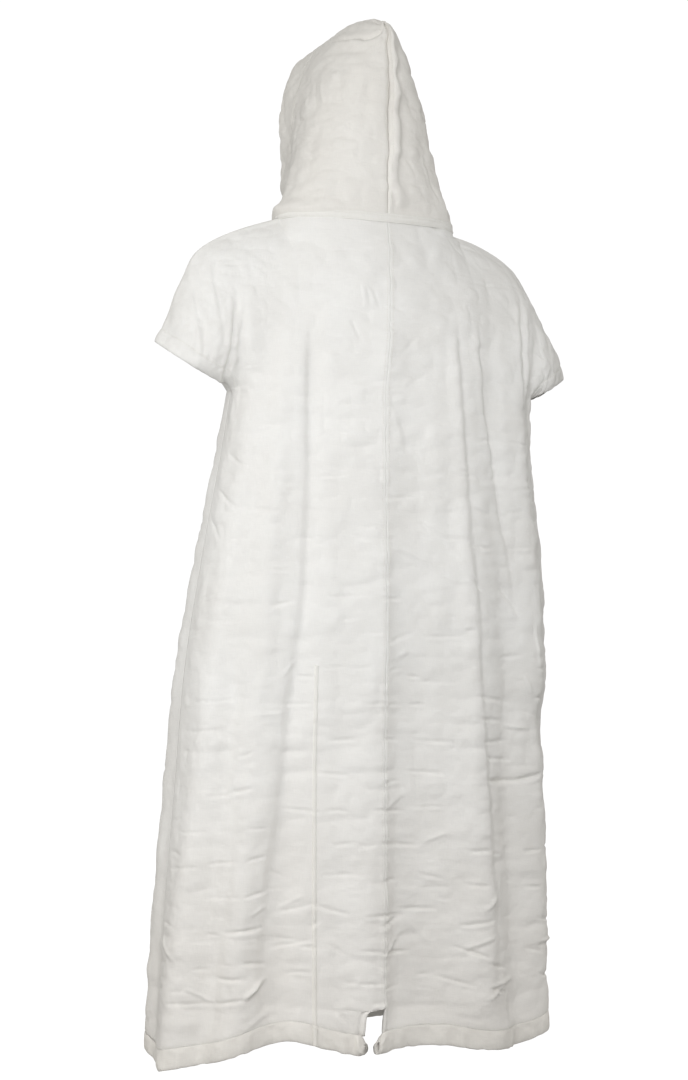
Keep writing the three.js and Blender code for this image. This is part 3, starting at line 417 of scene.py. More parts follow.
# creases of the back placed one by one: distance from the back seam (left positive),
# height, length, tilt, depth, width, bow
BACK_MARKS = [
    (65, -59, 29, -7, 0.7, 2.6, 0), (80, -101, 40, -6, 0.7, 3, 0), (-14, -134, 14, 21, 0.8, 3, 0),
    (-17, -239, 21, 0, 0.8, 2.8, 0), (-116, -343, 15, 2, 1, 2.6, 0), (-17, -381, 40, -5, 1, 2.8, 0),
    (-143, -441, 33, 7, 1.3, 2.8, 0), (142, -477, 24, 1, 1, 2.6, 0), (-133, -491, 23, 33, 1.8, 3.2, 0),
    (239, -509, 31, -8, 0.8, 2.8, 0), (53, -509, 62, -3, 0.9, 2.6, 0), (-201, -509, 45, 49, 1.6, 4, 0),
    (-8, -512, 26, -1, 1.3, 2.8, 0), (139, -520, 22, -13, 1.6, 2.8, 0), (48, -538, 21, -11, 0.6, 2.6, 0),
    (218, -542, 53, 0, 0.6, 2.6, 0), (-122, -552, 10, -11, 1.4, 2.6, 0), (14, -556, 28, -1, 0.7, 2.6, 0),
    (269, -559, 33, -5, 0.8, 2.6, 0), (-85, -560, 54, -1, 0.9, 2.6, 0), (-21, -563, 32, -22, 1.6, 3, 0),
    (-254, -571, 51, 79, -1.5, 3.4, 0), (-28, -583, 16, -32, -1.5, 3, 0), (-206, -585, 30, -6, 1.2, 3, 0),
    (69, -600, 24, 0, 0.7, 2.6, 0), (-283, -600, 72, -2, 1.5, 3.2, 0), (35, -601, 23, -4, 0.7, 2.6, 0),
    (-16, -603, 15, -12, 1.5, 2.6, 0), (129, -603, 23, -50, -1.3, 3, 0), (-45, -612, 14, 11, 1.9, 3, 0),
    (106, -612, 19, 2, 1.4, 2.8, 0), (-62, -619, 45, 0, 0.7, 2.6, 0), (-238, -623, 22, 60, -1.5, 3.2, 0),
    (-278, -640, 74, -2, 1.9, 3.4, 0), (-163, -641, 46, 6, 2, 3.4, 0), (232, -643, 77, -3, 0.9, 2.8, 1),
    (118, -647, 47, -2, 0.8, 2.6, 0), (12, -647, 28, -2, 0.9, 2.6, 0), (-17, -648, 15, -1, 1.5, 2.8, 0),
    (-50, -648, 17, 0, 1.5, 2.8, 0), (152, -660, 38, -4, -0.7, 3, 0), (-166, -669, 42, 2, 2, 3.4, 0),
    (-222, -680, 38, 6, -1.5, 3.2, 0), (242, -681, 41, -4, 0.9, 2.8, 0), (58, -693, 30, -3, 1.5, 2.8, 0),
    (-11, -693, 23, 5, 1.5, 2.8, 0), (-74, -696, 62, 4, 1.1, 2.8, 0), (-177, -698, 58, -1, 2, 3.4, 0),
    (185, -711, 17, -19, 1.5, 2.8, 0), (-186, -721, 50, 5, 1.9, 3.2, 0), (71, -736, 36, 5, 1.4, 2.8, 0),
    (-65, -736, 41, 5, 1.5, 2.8, 0), (-14, -747, 28, -8, 1.6, 3, 0), (-244, -748, 61, -9, 3.6, 4.2, 1),
    (-191, -750, 75, 3, 3.6, 4.2, 1), (193, -757, 28, -10, 1.6, 3, 0), (220, -763, 28, -3, 0.9, 2.6, 0),
    (-20, -771, 27, -33, -1.6, 3, 0), (-68, -781, 37, 1, 0.8, 2.6, 0), (108, -782, 42, 7, 1.2, 2.8, 0),
    (64, -783, 26, 3, 1.2, 2.8, -2), (-9, -784, 39, 2, 1.6, 2.8, 0), (172, -804, 22, 2, 1, 2.6, 0),
    (266, -810, 36, -2, 0.8, 2.6, 0), (-78, -821, 34, -17, -1.3, 3, 0), (54, -825, 22, -5, 1.2, 2.8, 0.6),
    (23, -828, 17, -1, 0.9, 2.6, 0), (-25, -828, 54, 4, 1.7, 3, 0), (-143, -841, 25, 0, 1.8, 2.8, 0),
    (170, -842, 22, -12, 1.3, 2.8, 0), (-257, -846, 26, -3, 1.7, 2.8, 0), (-180, -846, 19, 2, 1.2, 2.6, 0),
    (220, -848, 32, -6, 1.3, 2.8, 0), (283, -856, 101, -4, 0.9, 2.6, 0), (142, -862, 12, 33, 1.3, 2.8, 0),
    (56, -864, 47, -1, 1, 3, -1.5), (-73, -871, 29, 13, 1.2, 3, 0), (-11, -873, 21, -2, 1.5, 2.8, 0),
    (-140, -886, 31, 8, 1.6, 2.8, 0), (171, -887, 26, -13, 1.8, 3, 0), (220, -892, 72, -2, 0.8, 2.6, 0),
    (-258, -895, 27, 3, 1.4, 2.8, 0), (123, -897, 27, -26, -0.9, 3, 0), (-91, -901, 13, 4, 0.8, 2.6, 0),
    (116, -905, 41, -13, 1.3, 3.2, 0), (71, -908, 38, 15, 1.5, 3, 1), (168, -908, 19, -30, -1.5, 3, 0),
    (-57, -912, 41, 3, 1.8, 2.8, 0), (-162, -912, 24, -31, -1.9, 3, 0), (-5, -918, 57, 0, 1.6, 3, 0),
    (-16, -925, 33, -17, 2.2, 3.6, 0), (94, -926, 15, -34, 1.3, 2.8, 0), (189, -933, 65, -6, 2.2, 3.2, 1),
    (-143, -935, 53, -4, 2.1, 3, 2), (237, -939, 13, 1, 1.1, 2.6, 0), (-293, -940, 102, 6, 1.4, 2.8, 0),
    (-57, -943, 35, 45, -1, 3.4, 0), (132, -944, 66, 8, 0.7, 2.6, 0), (251, -948, 27, -2, 0.7, 2.6, 0),
    (122, -950, 45, -10, 1.3, 3, 0), (-18, -954, 38, -43, -2, 3, 0), (101, -955, 17, 3, 1.3, 2.6, 0),
    (63, -959, 20, 36, 1, 3, 0), (-143, -962, 55, -16, -1.8, 3.2, 0), (18, -963, 30, 3, 1.2, 2.8, 0),
    (-20, -966, 41, 1, 2, 3, 0), (-299, -968, 104, -2, -1.9, 3.4, 0), (-132, -972, 55, 18, 1.9, 3, 0),
    (172, -975, 26, 4, 1.8, 3, 0), (-264, -980, 29, 11, 1.2, 2.8, 0), (253, -983, 23, -1, 0.9, 2.6, 0),
    (115, -987, 28, -1, 1.3, 3, -1.5), (-181, -994, 41, 11, 2, 3, 0), (211, -994, 35, 0, 2, 3, 1.5),
    (-66, -998, 17, 0, 1, 2.6, 0), (45, -1001, 12, -4, 1.1, 2.6, 0), (18, -1004, 30, 3, 1.3, 2.8, 0),
    (171, -1006, 32, -39, -2.4, 3.6, 0), (-111, -1009, 52, 16, 1.4, 2.8, 0), (-13, -1011, 23, -3, 1.1, 2.8, 0),
    (-298, -1016, 107, 5, 1.3, 2.8, 0), (-192, -1017, 76, -4, -2.4, 3.4, 0), (253, -1017, 35, 25, -1.2, 3, 0),
    (214, -1023, 50, -7, 2, 3, 1.5), (-181, -1026, 33, 13, 1.8, 3, 0), (272, -1027, 62, -3, 1.3, 2.8, 0),
    (118, -1031, 24, -10, 1.2, 2.8, 0), (63, -1036, 48, 2, 1.2, 3, 0), (-69, -1039, 32, 1, 1.3, 3.4, 0),
    (172, -1050, 41, -34, -2.6, 3.6, 0), (-117, -1056, 39, 11, 1.7, 3, 0), (51, -1063, 34, 57, -1.6, 3.6, 0),
]

# long upright folds of the back: points (distance from the seam, height) from the top
# down, then how far the cloth drops away on the line's right, how wide the drop is and
# how far on it has come back, each at the fold's top, middle and foot
LONG_FOLDS = [
    ([(110, -165), (107, -258), (107, -349), (111, -412), (116, -514), (124, -579), (133, -642), (138, -719),
      (144, -782), (155, -843), (163, -895), (168, -957), (168, -1021), (166, -1075)], (4.2, 5.2, 5.8), (8, 12, 22), (26, 34, 46)),
    ([(-98, -142), (-108, -249), (-116, -340), (-121, -434), (-132, -513), (-142, -644), (-152, -721), (-162, -840),
      (-167, -971), (-167, -1085)], (6.0, 7.5, 9.0), (8, 16, 36), (24, 36, 64)),
    ([(-134, -138), (-150, -245), (-168, -324), (-181, -403), (-195, -462), (-209, -537)], (4.0, 4.8, 2.4), (6, 8, 10), (18, 24, 28)),
    ([(-1, -249), (-14, -273), (-23, -300), (-29, -330)], (1.2, 1.8, 0.6), (5, 5, 6), (12, 16, 16)),
    ([(-42, -285), (-51, -312), (-57, -350)], (0.8, 1.5, 0.6), (5, 5, 6), (12, 14, 14)),
    ([(303, -85), (309, -158), (292, -215)], (1.6, 2.8, 1.6), (6, 6, 7), (16, 18, 18)),
    ([(254, -70), (261, -131), (256, -185)], (1.2, 2.0, 1.0), (6, 7, 8), (16, 18, 18)),
    ([(171, -464), (181, -579), (191, -706), (206, -769), (214, -831), (223, -894), (238, -958), (246, -1023),
      (251, -1075)], (1.4, 4.0, 5.5), (14, 16, 16), (28, 30, 32)),
    ([(-5, -430), (-6, -577), (-7, -643), (-8, -772), (-7, -899), (-7, -1080)], (1.6, 7.0, 15.0), (14, 26, 34), (30, 44, 56)),
]
# narrow upright troughs: points, depth, half width
TROUGHS = [
    ([(213, -118), (225, -169), (222, -208), (224, -246), (230, -300)], 3.6, 5.0),
    ([(-229, -84), (-224, -120), (-222, -156), (-226, -200), (-234, -250)], 3.4, 5.0),
    ([(-48, -677), (-51, -764)], 1.0, 2.4),
    ([(122, -590), (121, -640)], 0.9, 2.4),
    ([(104, -662), (105, -700)], 1.0, 2.4),
    ([(84, -230), (82, -300)], 0.7, 3.0),
    ([(183, -45), (188, -75), (186, -100)], 1.0, 4.0),
]
# soft hollows (below 0) and swellings of the back: distance from the seam, height,
# half width and half height, how far in or out
SWELLS = [
    (-300, -672, 60, 34, -7.5), (-300, -735, 50, 20, 2.5), (-300, -600, 50, 30, 1.5),
    (-292, -790, 50, 34, 2.0), (290, -430, 45, 60, -2.0), (300, -690, 50, 40, -2.0), (-260, -470, 40, 60, 1.5),
    (-60, -330, 30, 60, 1.5), (60, -130, 60, 30, 1.2), (-110, -80, 40, 30, 1.0),
]


# folds of the yoke and round the hem's corners, placed like the creases above
YOKE_MARKS = [
 (-80, -16, 30, 10, 1.6, 2.6, 0),
    (-92, -21, 26, 14, -1.6, 3, 0), (-150, -27, 60, 5, -1.4, 3, 0), (-118, -35, 40, 30, 1.0, 3, 0),
    (20, -120, 34, 70, 0.9, 3, 0), (36, -118, 30, 82, -0.9, 3, 0), (45, -165, 34, 60, 0.9, 3.4, 0),
    (-30, -180, 40, -50, 0.8, 3.4, 2), (-40, -230, 36, -35, 0.8, 3.4, -2), (30, -235, 60, -8, 0.7, 4, 2),
    (-64, -210, 40, 0, 0.7, 3, 0), (-220, -300, 50, 0, 0.8, 3, 0), (-230, -360, 50, -6, 0.8, 3, 0),
    (200, -335, 40, 30, 0.9, 3.2, 2), (215, -385, 50, 38, 1.0, 3.2, 0), (238, -420, 46, 48, 0.9, 3.4, 0),
    (150, -290, 46, -4, 0.6, 3, 0), (60, -300, 50, 4, 0.6, 3, 0), (-70, -420, 50, 30, -0.9, 3.4, 0),
    (-40, -455, 44, 24, -0.9, 3.4, 0), (20, -420, 40, 0, 0.6, 3, 0), (160, -400, 40, 4, 0.6, 3, 0),
    (75, -355, 60, -5, 0.6, 3, 1), (-150, -300, 26, -14, 0.8, 3, 0), (-240, -250, 30, 20, 0.8, 3, 0),
]
FOOT_MARKS = [
    (172, -1049, 36, -36, -2.6, 3.6, 0), (176, -1055, 34, -36, 2.0, 3.0, 0), (175, -1008, 40, -42, -2.6, 3.8, 0),
    (-177, -1028, 48, 158, -2.4, 3.4, 0), (-167, -905, 26, 150, -2.0, 3.2, 0), (52, -1062, 30, 52, -2.2, 3.2, 3),
    (56, -1045, 42, 34, 2.0, 3.2, -3), (44, -1060, 30, 60, 1.8, 2.8, 0), (-46, -1073, 56, 167, 2.2, 2.8, 0),
    (-44, -1066, 48, 167, -1.6, 3.4, 0), (-10, -933, 74, 80, -1.4, 4, 4), (310, -958, 60, 35, -2.0, 5, 0),
]
# the hood, by half: distance from its seam (left positive), height, length, tilt, depth, width, bow
HOOD_MARKS = [
    (101, 203, 32, 0, -2.4, 3.4, 0), (70, 173, 42, 10, -2.2, 3.0, 2), (71, 183, 38, 11, 1.8, 2.6, 0),
    (130, 150, 24, 80, -1.8, 4, 0), (98, 155, 34, 74, -2.2, 3.6, 0), (113, 156, 40, 72, 1.6, 4, 0),
    (122, 102, 56, 9, 2.4, 2.4, 0), (112, 80, 28, 10, 2.0, 2.2, 0), (110, 67, 26, 11, 2.0, 2.2, 0),
    (51, 102, 34, 40, 1.5, 3, 2), (76, 47, 46, 2, 1.6, 3, -3), (96, 21, 22, 0, 1.5, 2.2, 0),
    (80, 10, 50, 3, 1.4, 2.2, 0), (120, 54, 30, 20, -1.6, 3.6, 0), (150, 128, 30, 8, 1.6, 2.6, 0),
    (64, 142, 40, 4, 0.9, 3, 0), (66, 78, 40, 0, 0.9, 3, 0), (30, 92, 30, 6, 1.0, 3, 0), (26, 60, 24, 0, 0.8, 3, 0),
    (150, 40, 30, 4, 1.2, 2.6, 0), (60, 208, 60, 6, 1.4, 3.4, 0), (16, 182, 26, 4, 0.9, 3, 0),
    (-8, 13, 24, 72, 3.2, 3.4, 0), (-40, 60, 34, 60, 1.6, 3, 0), (-44, 34, 30, -30, 1.4, 3, 0), (-60, 100, 40, -8, 1.4, 3, 0),
    (-70, 60, 40, 70, -1.6, 3.6, 0), (-88, 34, 30, 60, 1.6, 3, 0), (-50, 140, 40, 4, 1.2, 3, 0), (-90, 130, 40, 0, 1.4, 3, 0),
    (-120, 90, 40, 0, 1.6, 3, 0), (-130, 50, 40, 6, 1.6, 3, 0), (-120, 170, 40, 0, 1.6, 3, 0),
]
HOOD_LINES = [
    # half, points (distance from the seam, height), depth below 0 for a ridge, half width
    (1, [(39, 204), (36, 178), (37, 158), (43, 139), (46, 122)], -1.3, 5.0),
    (1, [(27, 190), (26, 165), (27, 138), (30, 118)], 0.9, 6.0),
    (-1, [(-34, 150), (-38, 100), (-42, 60), (-46, 24)], -2.2, 13.0),
    (-1, [(-62, 120), (-70, 80), (-80, 30)], 1.2, 9.0),
]
# the welt on the right of the hood's seam, as in the long folds
HOOD_WELT = ([(-9, 236), (-13, 221), (-11, 205), (-13, 191), (-8, 178), (-9, 166), (-14, 152), (-12, 138), (-9, 128),
               (-15, 112), (-16, 99), (-12, 84), (-12, 70), (-7, 54), (-8, 40), (-3, 26)], (10, 12, 9), (24, 26, 20), (46, 50, 36))


def line_at(path, Z):
    p = sorted((z, s) for s, z in path)
    at = curve(p, 1, Z)
    return at, smooth((Z - p[0][0] + 10) / 30) * smooth((p[-1][0] - Z + 10) / 60), (p[-1][0] - Z) / (p[-1][0] - p[0][0])


def long_fold(F, S, Z, path, drop, width, back, crest=0.3):
    at, span, k = line_at(path, Z)
    d, w, r = (np.interp(k, [0, 0.5, 1], v) for v in (drop, width, back))
    v = at - S
    F += span * d * (-smooth(v / w + 0.2) * np.exp(-np.maximum(v, 0) / r) + crest * bell((v + w * 0.7) / (w * 0.9)))


def trough(F, S, Z, path, depth, width):
    at, span, k = line_at(path, Z)
    v = (at - S) / width
    F += span * depth * (-bell(v) + 0.35 * bell(v + 2.2) + 0.25 * bell(v - 2.2))


# ---------------------------------------------------------------- building shells


def mesh_object(name, verts, faces, uv=None, tris=None):
    me = bpy.data.meshes.new(name)
    me.vertices.add(len(verts))
    me.vertices.foreach_set("co", (np.asarray(verts) * MM).astype(np.float32).ravel())
    groups = [np.asarray(f, np.int32) for f in (faces, tris) if f is not None and len(f)]
    corners = np.concatenate([f.ravel() for f in groups])
    totals = np.concatenate([np.full(len(f), f.shape[1], np.int32) for f in groups])
    me.loops.add(len(corners))
    me.loops.foreach_set("vertex_index", corners)
    me.polygons.add(len(totals))
    me.polygons.foreach_set("loop_start", np.concatenate([[0], np.cumsum(totals)[:-1]]).astype(np.int32))
    me.polygons.foreach_set("loop_total", totals)
    me.update(calc_edges=True)
    me.validate()
    if uv is not None:
        layer = me.uv_layers.new(name="cloth")
        loops = np.empty(len(me.loops), np.int32)
        me.loops.foreach_get("vertex_index", loops)
        layer.uv.foreach_set("vector", (np.asarray(uv, float)[loops] * 0.01).astype(np.float32).ravel())
    me.polygons.foreach_set("use_smooth", np.ones(len(me.polygons), bool))
    ob = bpy.data.objects.new(name, me)
    bpy.context.collection.objects.link(ob)
    return ob


def thinned(F, step):
    """The lowest of the neighbouring rows, so that the inner face stays inside the outer."""
    low = F.copy()
    for k in range(1, step + 1):
        low[k:] = np.minimum(low[k:], F[:-k])
        low[:-k] = np.minimum(low[:-k], F[k:])
    return low


def thin_shell(name, O, I, uv, flip, step=4):
    """A closed wall whose inner grid has one row for every few of the outer."""
    R, C = O.shape[:2]
    keep = np.unique(np.concatenate([np.arange(0, R, step), [R - 1]]))
    verts = np.concatenate([O.reshape(-1, 3), I[keep].reshape(-1, 3)])
    uvs = np.concatenate([uv.reshape(-1, 2), uv[keep].reshape(-1, 2)])
    i = np.arange(R * C).reshape(R, C)
    m = np.arange(len(keep) * C).reshape(len(keep), C) + R * C
    quads = [np.stack([i[:-1, :-1], i[1:, :-1], i[1:, 1:], i[:-1, 1:]], -1).reshape(-1, 4),
             np.stack([m[:-1, :-1], m[:-1, 1:], m[1:, 1:], m[1:, :-1]], -1).reshape(-1, 4),
             np.stack([i[0, :-1], i[0, 1:], m[0, 1:], m[0, :-1]], -1),
             np.stack([i[-1, :-1], m[-1, :-1], m[-1, 1:], i[-1, 1:]], -1)]
    tris = []
    for col, turn in ((0, True), (C - 1, False)):
        for j in range(len(keep) - 1):
            a, b = keep[j], keep[j + 1]
            half = (a + b) // 2
            fan = [(i[r, col], i[r + 1, col], m[j, col] if r < half else m[j + 1, col]) for r in range(a, b)]
            fan.append((i[half, col], m[j + 1, col], m[j, col]))
            tris += [t[::-1] if turn else t for t in fan]
    faces, tris = np.concatenate(quads), np.asarray(tris)
    # one winding for every face: the outer grid's own
    if flip:
        faces, tris = faces[:, ::-1], tris[:, ::-1]
    return mesh_object(name, verts, faces, uvs, tris)


def shell(name, O, I, uv, flip):
    """A closed wall between two grids of points."""
    R, C = O.shape[:2]
    verts = np.concatenate([O.reshape(-1, 3), I.reshape(-1, 3)])
    uvs = np.concatenate([uv.reshape(-1, 2)] * 2)
    i = np.arange(R * C).reshape(R, C)
    a, b, c, d = i[:-1, :-1], i[1:, :-1], i[1:, 1:], i[:-1, 1:]
    n = R * C
    parts = [np.stack([a, b, c, d], -1).reshape(-1, 4), np.stack([a, d, c, b], -1).reshape(-1, 4) + n]

    def rim(line, turn):
        e0, e1 = line[:-1], line[1:]
        q = np.stack([e0, e1, e1 + n, e0 + n], -1)
        return q[:, ::-1] if turn else q

    parts += [rim(i[0], False), rim(i[-1], True), rim(i[:, 0], True), rim(i[:, -1], False)]
    faces = np.concatenate(parts)
    if flip:
        faces = faces[:, ::-1]
    return mesh_object(name, verts, faces, uvs)


def round_edge(P, n, inward, d, radius=1.4):
    """Turns the outer face in where a free edge is near: d is the distance from it."""
    k = np.clip(1 - d / radius, 0, 1)
    return P - n * (radius * 0.7 * k * k)[..., None]


GRID = {}


def sample(name, row, col):
    """Point, normal and lengths of a built grid at fractional rows and columns."""
    out = []
    for A in GRID[name][:4]:
        R, C = A.shape[:2]
        r, c = np.clip(row, 0, R - 1.001), np.clip(col, 0, C - 1.001)
        i, j = np.floor(r).astype(int), np.floor(c).astype(int)
        fr, fc = r - i, c - j
        if A.ndim == 3:
            fr, fc = fr[..., None], fc[..., None]
        out.append((A[i, j] * (1 - fc) + A[i, j + 1] * fc) * (1 - fr) + (A[i + 1, j] * (1 - fc) + A[i + 1, j + 1] * fc) * fr)
    return out


def body_rows(is_back, q, yoke_rows, skirt_rows):
    """Rows of t for each column: even down the yoke, then even to the casing's top."""
    low = curve(UNDERARM, 1, q)
    edge = hem_edge(direction(is_back, q, HEM_LEVEL))
    end = 2 - (CASING_DEPTH - 2.6) / (low - edge)
    yoke = np.linspace(0, 1, yoke_rows)[:, None] * np.ones(len(q))
    if not is_back:
        k = np.linspace(0, 1, skirt_rows + 1)[1:, None]
        return np.concatenate([yoke, 1 + (end - 1) * k])
    # two rows stand close together at the slit's flat top
    above, below = 2 - 57.0 / (low - edge), 2 - 55.9 / (low - edge)
    k = np.linspace(0, 1, skirt_rows - 10)[1:, None]
    m = np.linspace(0, 1, 11)[:, None]
    return np.concatenate([yoke, 1 + (above - 1) * k, below + (end - below) * m])


def eased(A, Q, T):
    """Rounds the bend where the yoke meets the body near the underarm."""
    out = np.zeros_like(A)
    total = 0
    for k in range(-12, 13):
        g = math.exp(-(k / 6.0) ** 2)
        out += g * A[np.clip(np.arange(len(A)) + k, 0, len(A) - 1)]
        total += g
    w = bell((T - 1) / 0.055) * smooth((np.abs(Q) - 0.45) / 0.2) * (1 - smooth((np.abs(Q) - 0.955) / 0.03))
    return A * (1 - w[..., None]) + out / total * w[..., None]


def slit_shift(side, up):
    mm = curve(SLIT, 1 if side > 0 else 2, np.clip(up, 18, 56)) * (1 if side > 0 else -1)
    return np.where(up > SLIT_TOP, 0, np.maximum(mm, 0)) / SEAM_ARC / 85.5


def build_back(side):
    near = [0, 0.9, 1.8, 2.8, 4.0, 5.4, 7.0, 9.0, 11.4, 14.2]
    far = np.linspace(17.2, 430, 133)
    aq = np.concatenate([near, far]) / 430
    q = aq * side
    T = body_rows(True, q, 120, 410)
    Q = q * np.ones_like(T)
    low = curve(UNDERARM, 1, Q)
    up = (2 - T) * (low - hem_edge(direction(True, Q, HEM_LEVEL)))
    flat = body_point(True, Q, T)
    S = along(flat, 1) * side
    Qs = Q + side * slit_shift(side, up) * smooth(1 - np.abs(Q) / SLIT_SPREAD)
    S = S + (Qs - Q) * 430
    P, n = body_point(True, Qs, T), body_normal(True, Qs, T)
    P, n = eased(P, Q, T), unit(eased(n, Q, T))
    V = along(flat, 0)
    Z = P[..., 2]
    F = np.zeros(S.shape)
    brick_creases(F, S, Z, back_strength, 5, (-470, 470), (-1062, -40))
    for row in BACK_MARKS:
        crease(F, S, Z, row[0], row[1], min(row[2] * LONGER, 64), row[3], row[4] * MARK_GAIN, *row[5:])
    for row in YOKE_MARKS:
        crease(F, S, Z, *row[:4], row[4] * YOKE_GAIN, *row[5:])
    for row in FOOT_MARKS:
        crease(F, S, Z, *row)
    for path, drop, wide, back in LONG_FOLDS:
        long_fold(F, S, Z, path, drop, wide, back)
    for path, depth, wide in TROUGHS:
        trough(F, S, Z, path, depth, wide)
    for s0, z0, ws, wz, out in SWELLS:
        F += out * bell((S - s0) / ws) * bell((Z - z0) / wz)
    F += soft_field(S, Z, curve([(-1104, 1.1), (-700, 1.1), (-500, 1.25), (-300, 1.45), (0, 1.35)], 1, Z))
    to_side = np.abs(along(flat, 1)[:, -1:]) - np.abs(along(flat, 1))
    below = smooth((T - 0.99) / 0.02)
    # the displacement dies out at the neck, the shoulder and the side seam
    on_neck = smooth(1 - (np.abs(Q) - NECK_SHARE + 0.03) / 0.06)
    fade = smooth(V / 12) * (1 - below * (1 - smooth(to_side / 24))) * (1 - below * (1 - smooth((up - 22) / 34)))
    F *= fade
    aS = np.abs(S)
    open_slit = smooth((up - 55) / 3)
    pucker = NOISES[1](Z / 9.0, aS / 30 + 3)
    ridge = 0.7 + 1.1 * smooth((-700 - Z) / 250)
    F += open_slit * (-0.35 * bell(aS / 0.9) + ridge * bell(aS / 5.5) + 0.45 * pucker * bell(aS / 9)) * smooth(V / 8)
    F += (1 - on_neck) * (-0.9 * bell(V / 1.8) + 0.6 * bell((V - 5) / 2.6))
    # the sleeve's turned hem
    sleeve = 1 - below
    F += sleeve * (0.7 * bell((to_side - 9) / 8) - 0.9 * bell((to_side - SLEEVE_HEM) / 1.9)
                   + 0.35 * NOISES[2](V / 7, to_side / 25) * bell((to_side - SLEEVE_HEM) / 7))
    # the slit's rolled edge
    edge = (1 - open_slit) * smooth((up - 24) / 4)
    d = np.abs(along(P, 1))
    F += edge * (1.5 * bell((d - 2.4) / 2.4) - 1.1 * bell((d - 7.2) / 1.9))
    lintel = smooth(((20 if side > 0 else 4) - aS) / 5) * open_slit
    F += lintel * (1.5 * bell((up - 59.5) / 2.8) - 1.2 * bell((up - 65) / 2.2))
    # it tucks into the turned hem
    F -= 1.0 * smooth((28 - up) / 2)
    # the panel turns in a little at the hem's stitch line
    F += -0.5 * bell((up - CASING_DEPTH) / 1.8) + 0.5 * NOISES[2](S / 8, up / 20) * bell((up - CASING_DEPTH - 5) / 9)
    O = P + n * F[..., None]
    O = round_edge(O, n, None, np.where(sleeve > 0.5, to_side, 99))
    I = P + n * (thinned(F, 4) - CLOTH)[..., None]
    name = "cloth_back_left" if side > 0 else "cloth_back_right"
    GRID[name] = (O, n, S, Z, Qs, T, up)
    return thin_shell(name, O, I, np.stack([S, Z], -1), side > 0)


def build_front():
    q = np.linspace(-1, 1, 181)
    T = body_rows(False, q, 56, 172)
    Q = q * np.ones_like(T)
    P, n = body_point(False, Q, T), body_normal(False, Q, T)
    run = along(P, 1)
    S = run - run[:, 90:91]
    V = along(P, 0)
    Z = P[..., 2]
    low = curve(UNDERARM, 1, Q)
    up = (2 - T) * (low - hem_edge(direction(False, Q, HEM_LEVEL)))
    F = np.zeros(S.shape)
    brick_creases(F, S, Z, front_strength, 77, (-470, 470), (-1062, -60))
    F += soft_field(S + 500, Z + 300, 1.0)
    to_side = np.minimum(run, run[:, -1:] - run)
    below = smooth((T - 0.99) / 0.02)
    F *= smooth(V / 12) * (1 - below * (1 - smooth(to_side / 24)))
    on_neck = smooth(1 - (np.abs(Q) - NECK_SHARE + 0.03) / 0.06)
    F += (1 - on_neck) * (-0.9 * bell(V / 1.8) + 0.6 * bell((V - 5) / 2.6))
    sleeve = 1 - below
    F += sleeve * (0.7 * bell((to_side - 9) / 8) - 0.9 * bell((to_side - SLEEVE_HEM) / 2.4))
    F += -0.5 * bell((up - CASING_DEPTH) / 2.4) + 0.5 * NOISES[2](S / 8, up / 20) * bell((up - CASING_DEPTH - 5) / 9)
    F -= 1.0 * smooth((28 - up) / 2)
    O = P + n * F[..., None]
    O = round_edge(O, n, None, np.where(sleeve > 0.5, to_side, 99))
    I = P + n * (F - CLOTH)[..., None]
    GRID["cloth_front"] = (O, n, S, Z, Q, T, up)
    return shell("cloth_front", O, I, np.stack([S + 500, Z], -1), False)


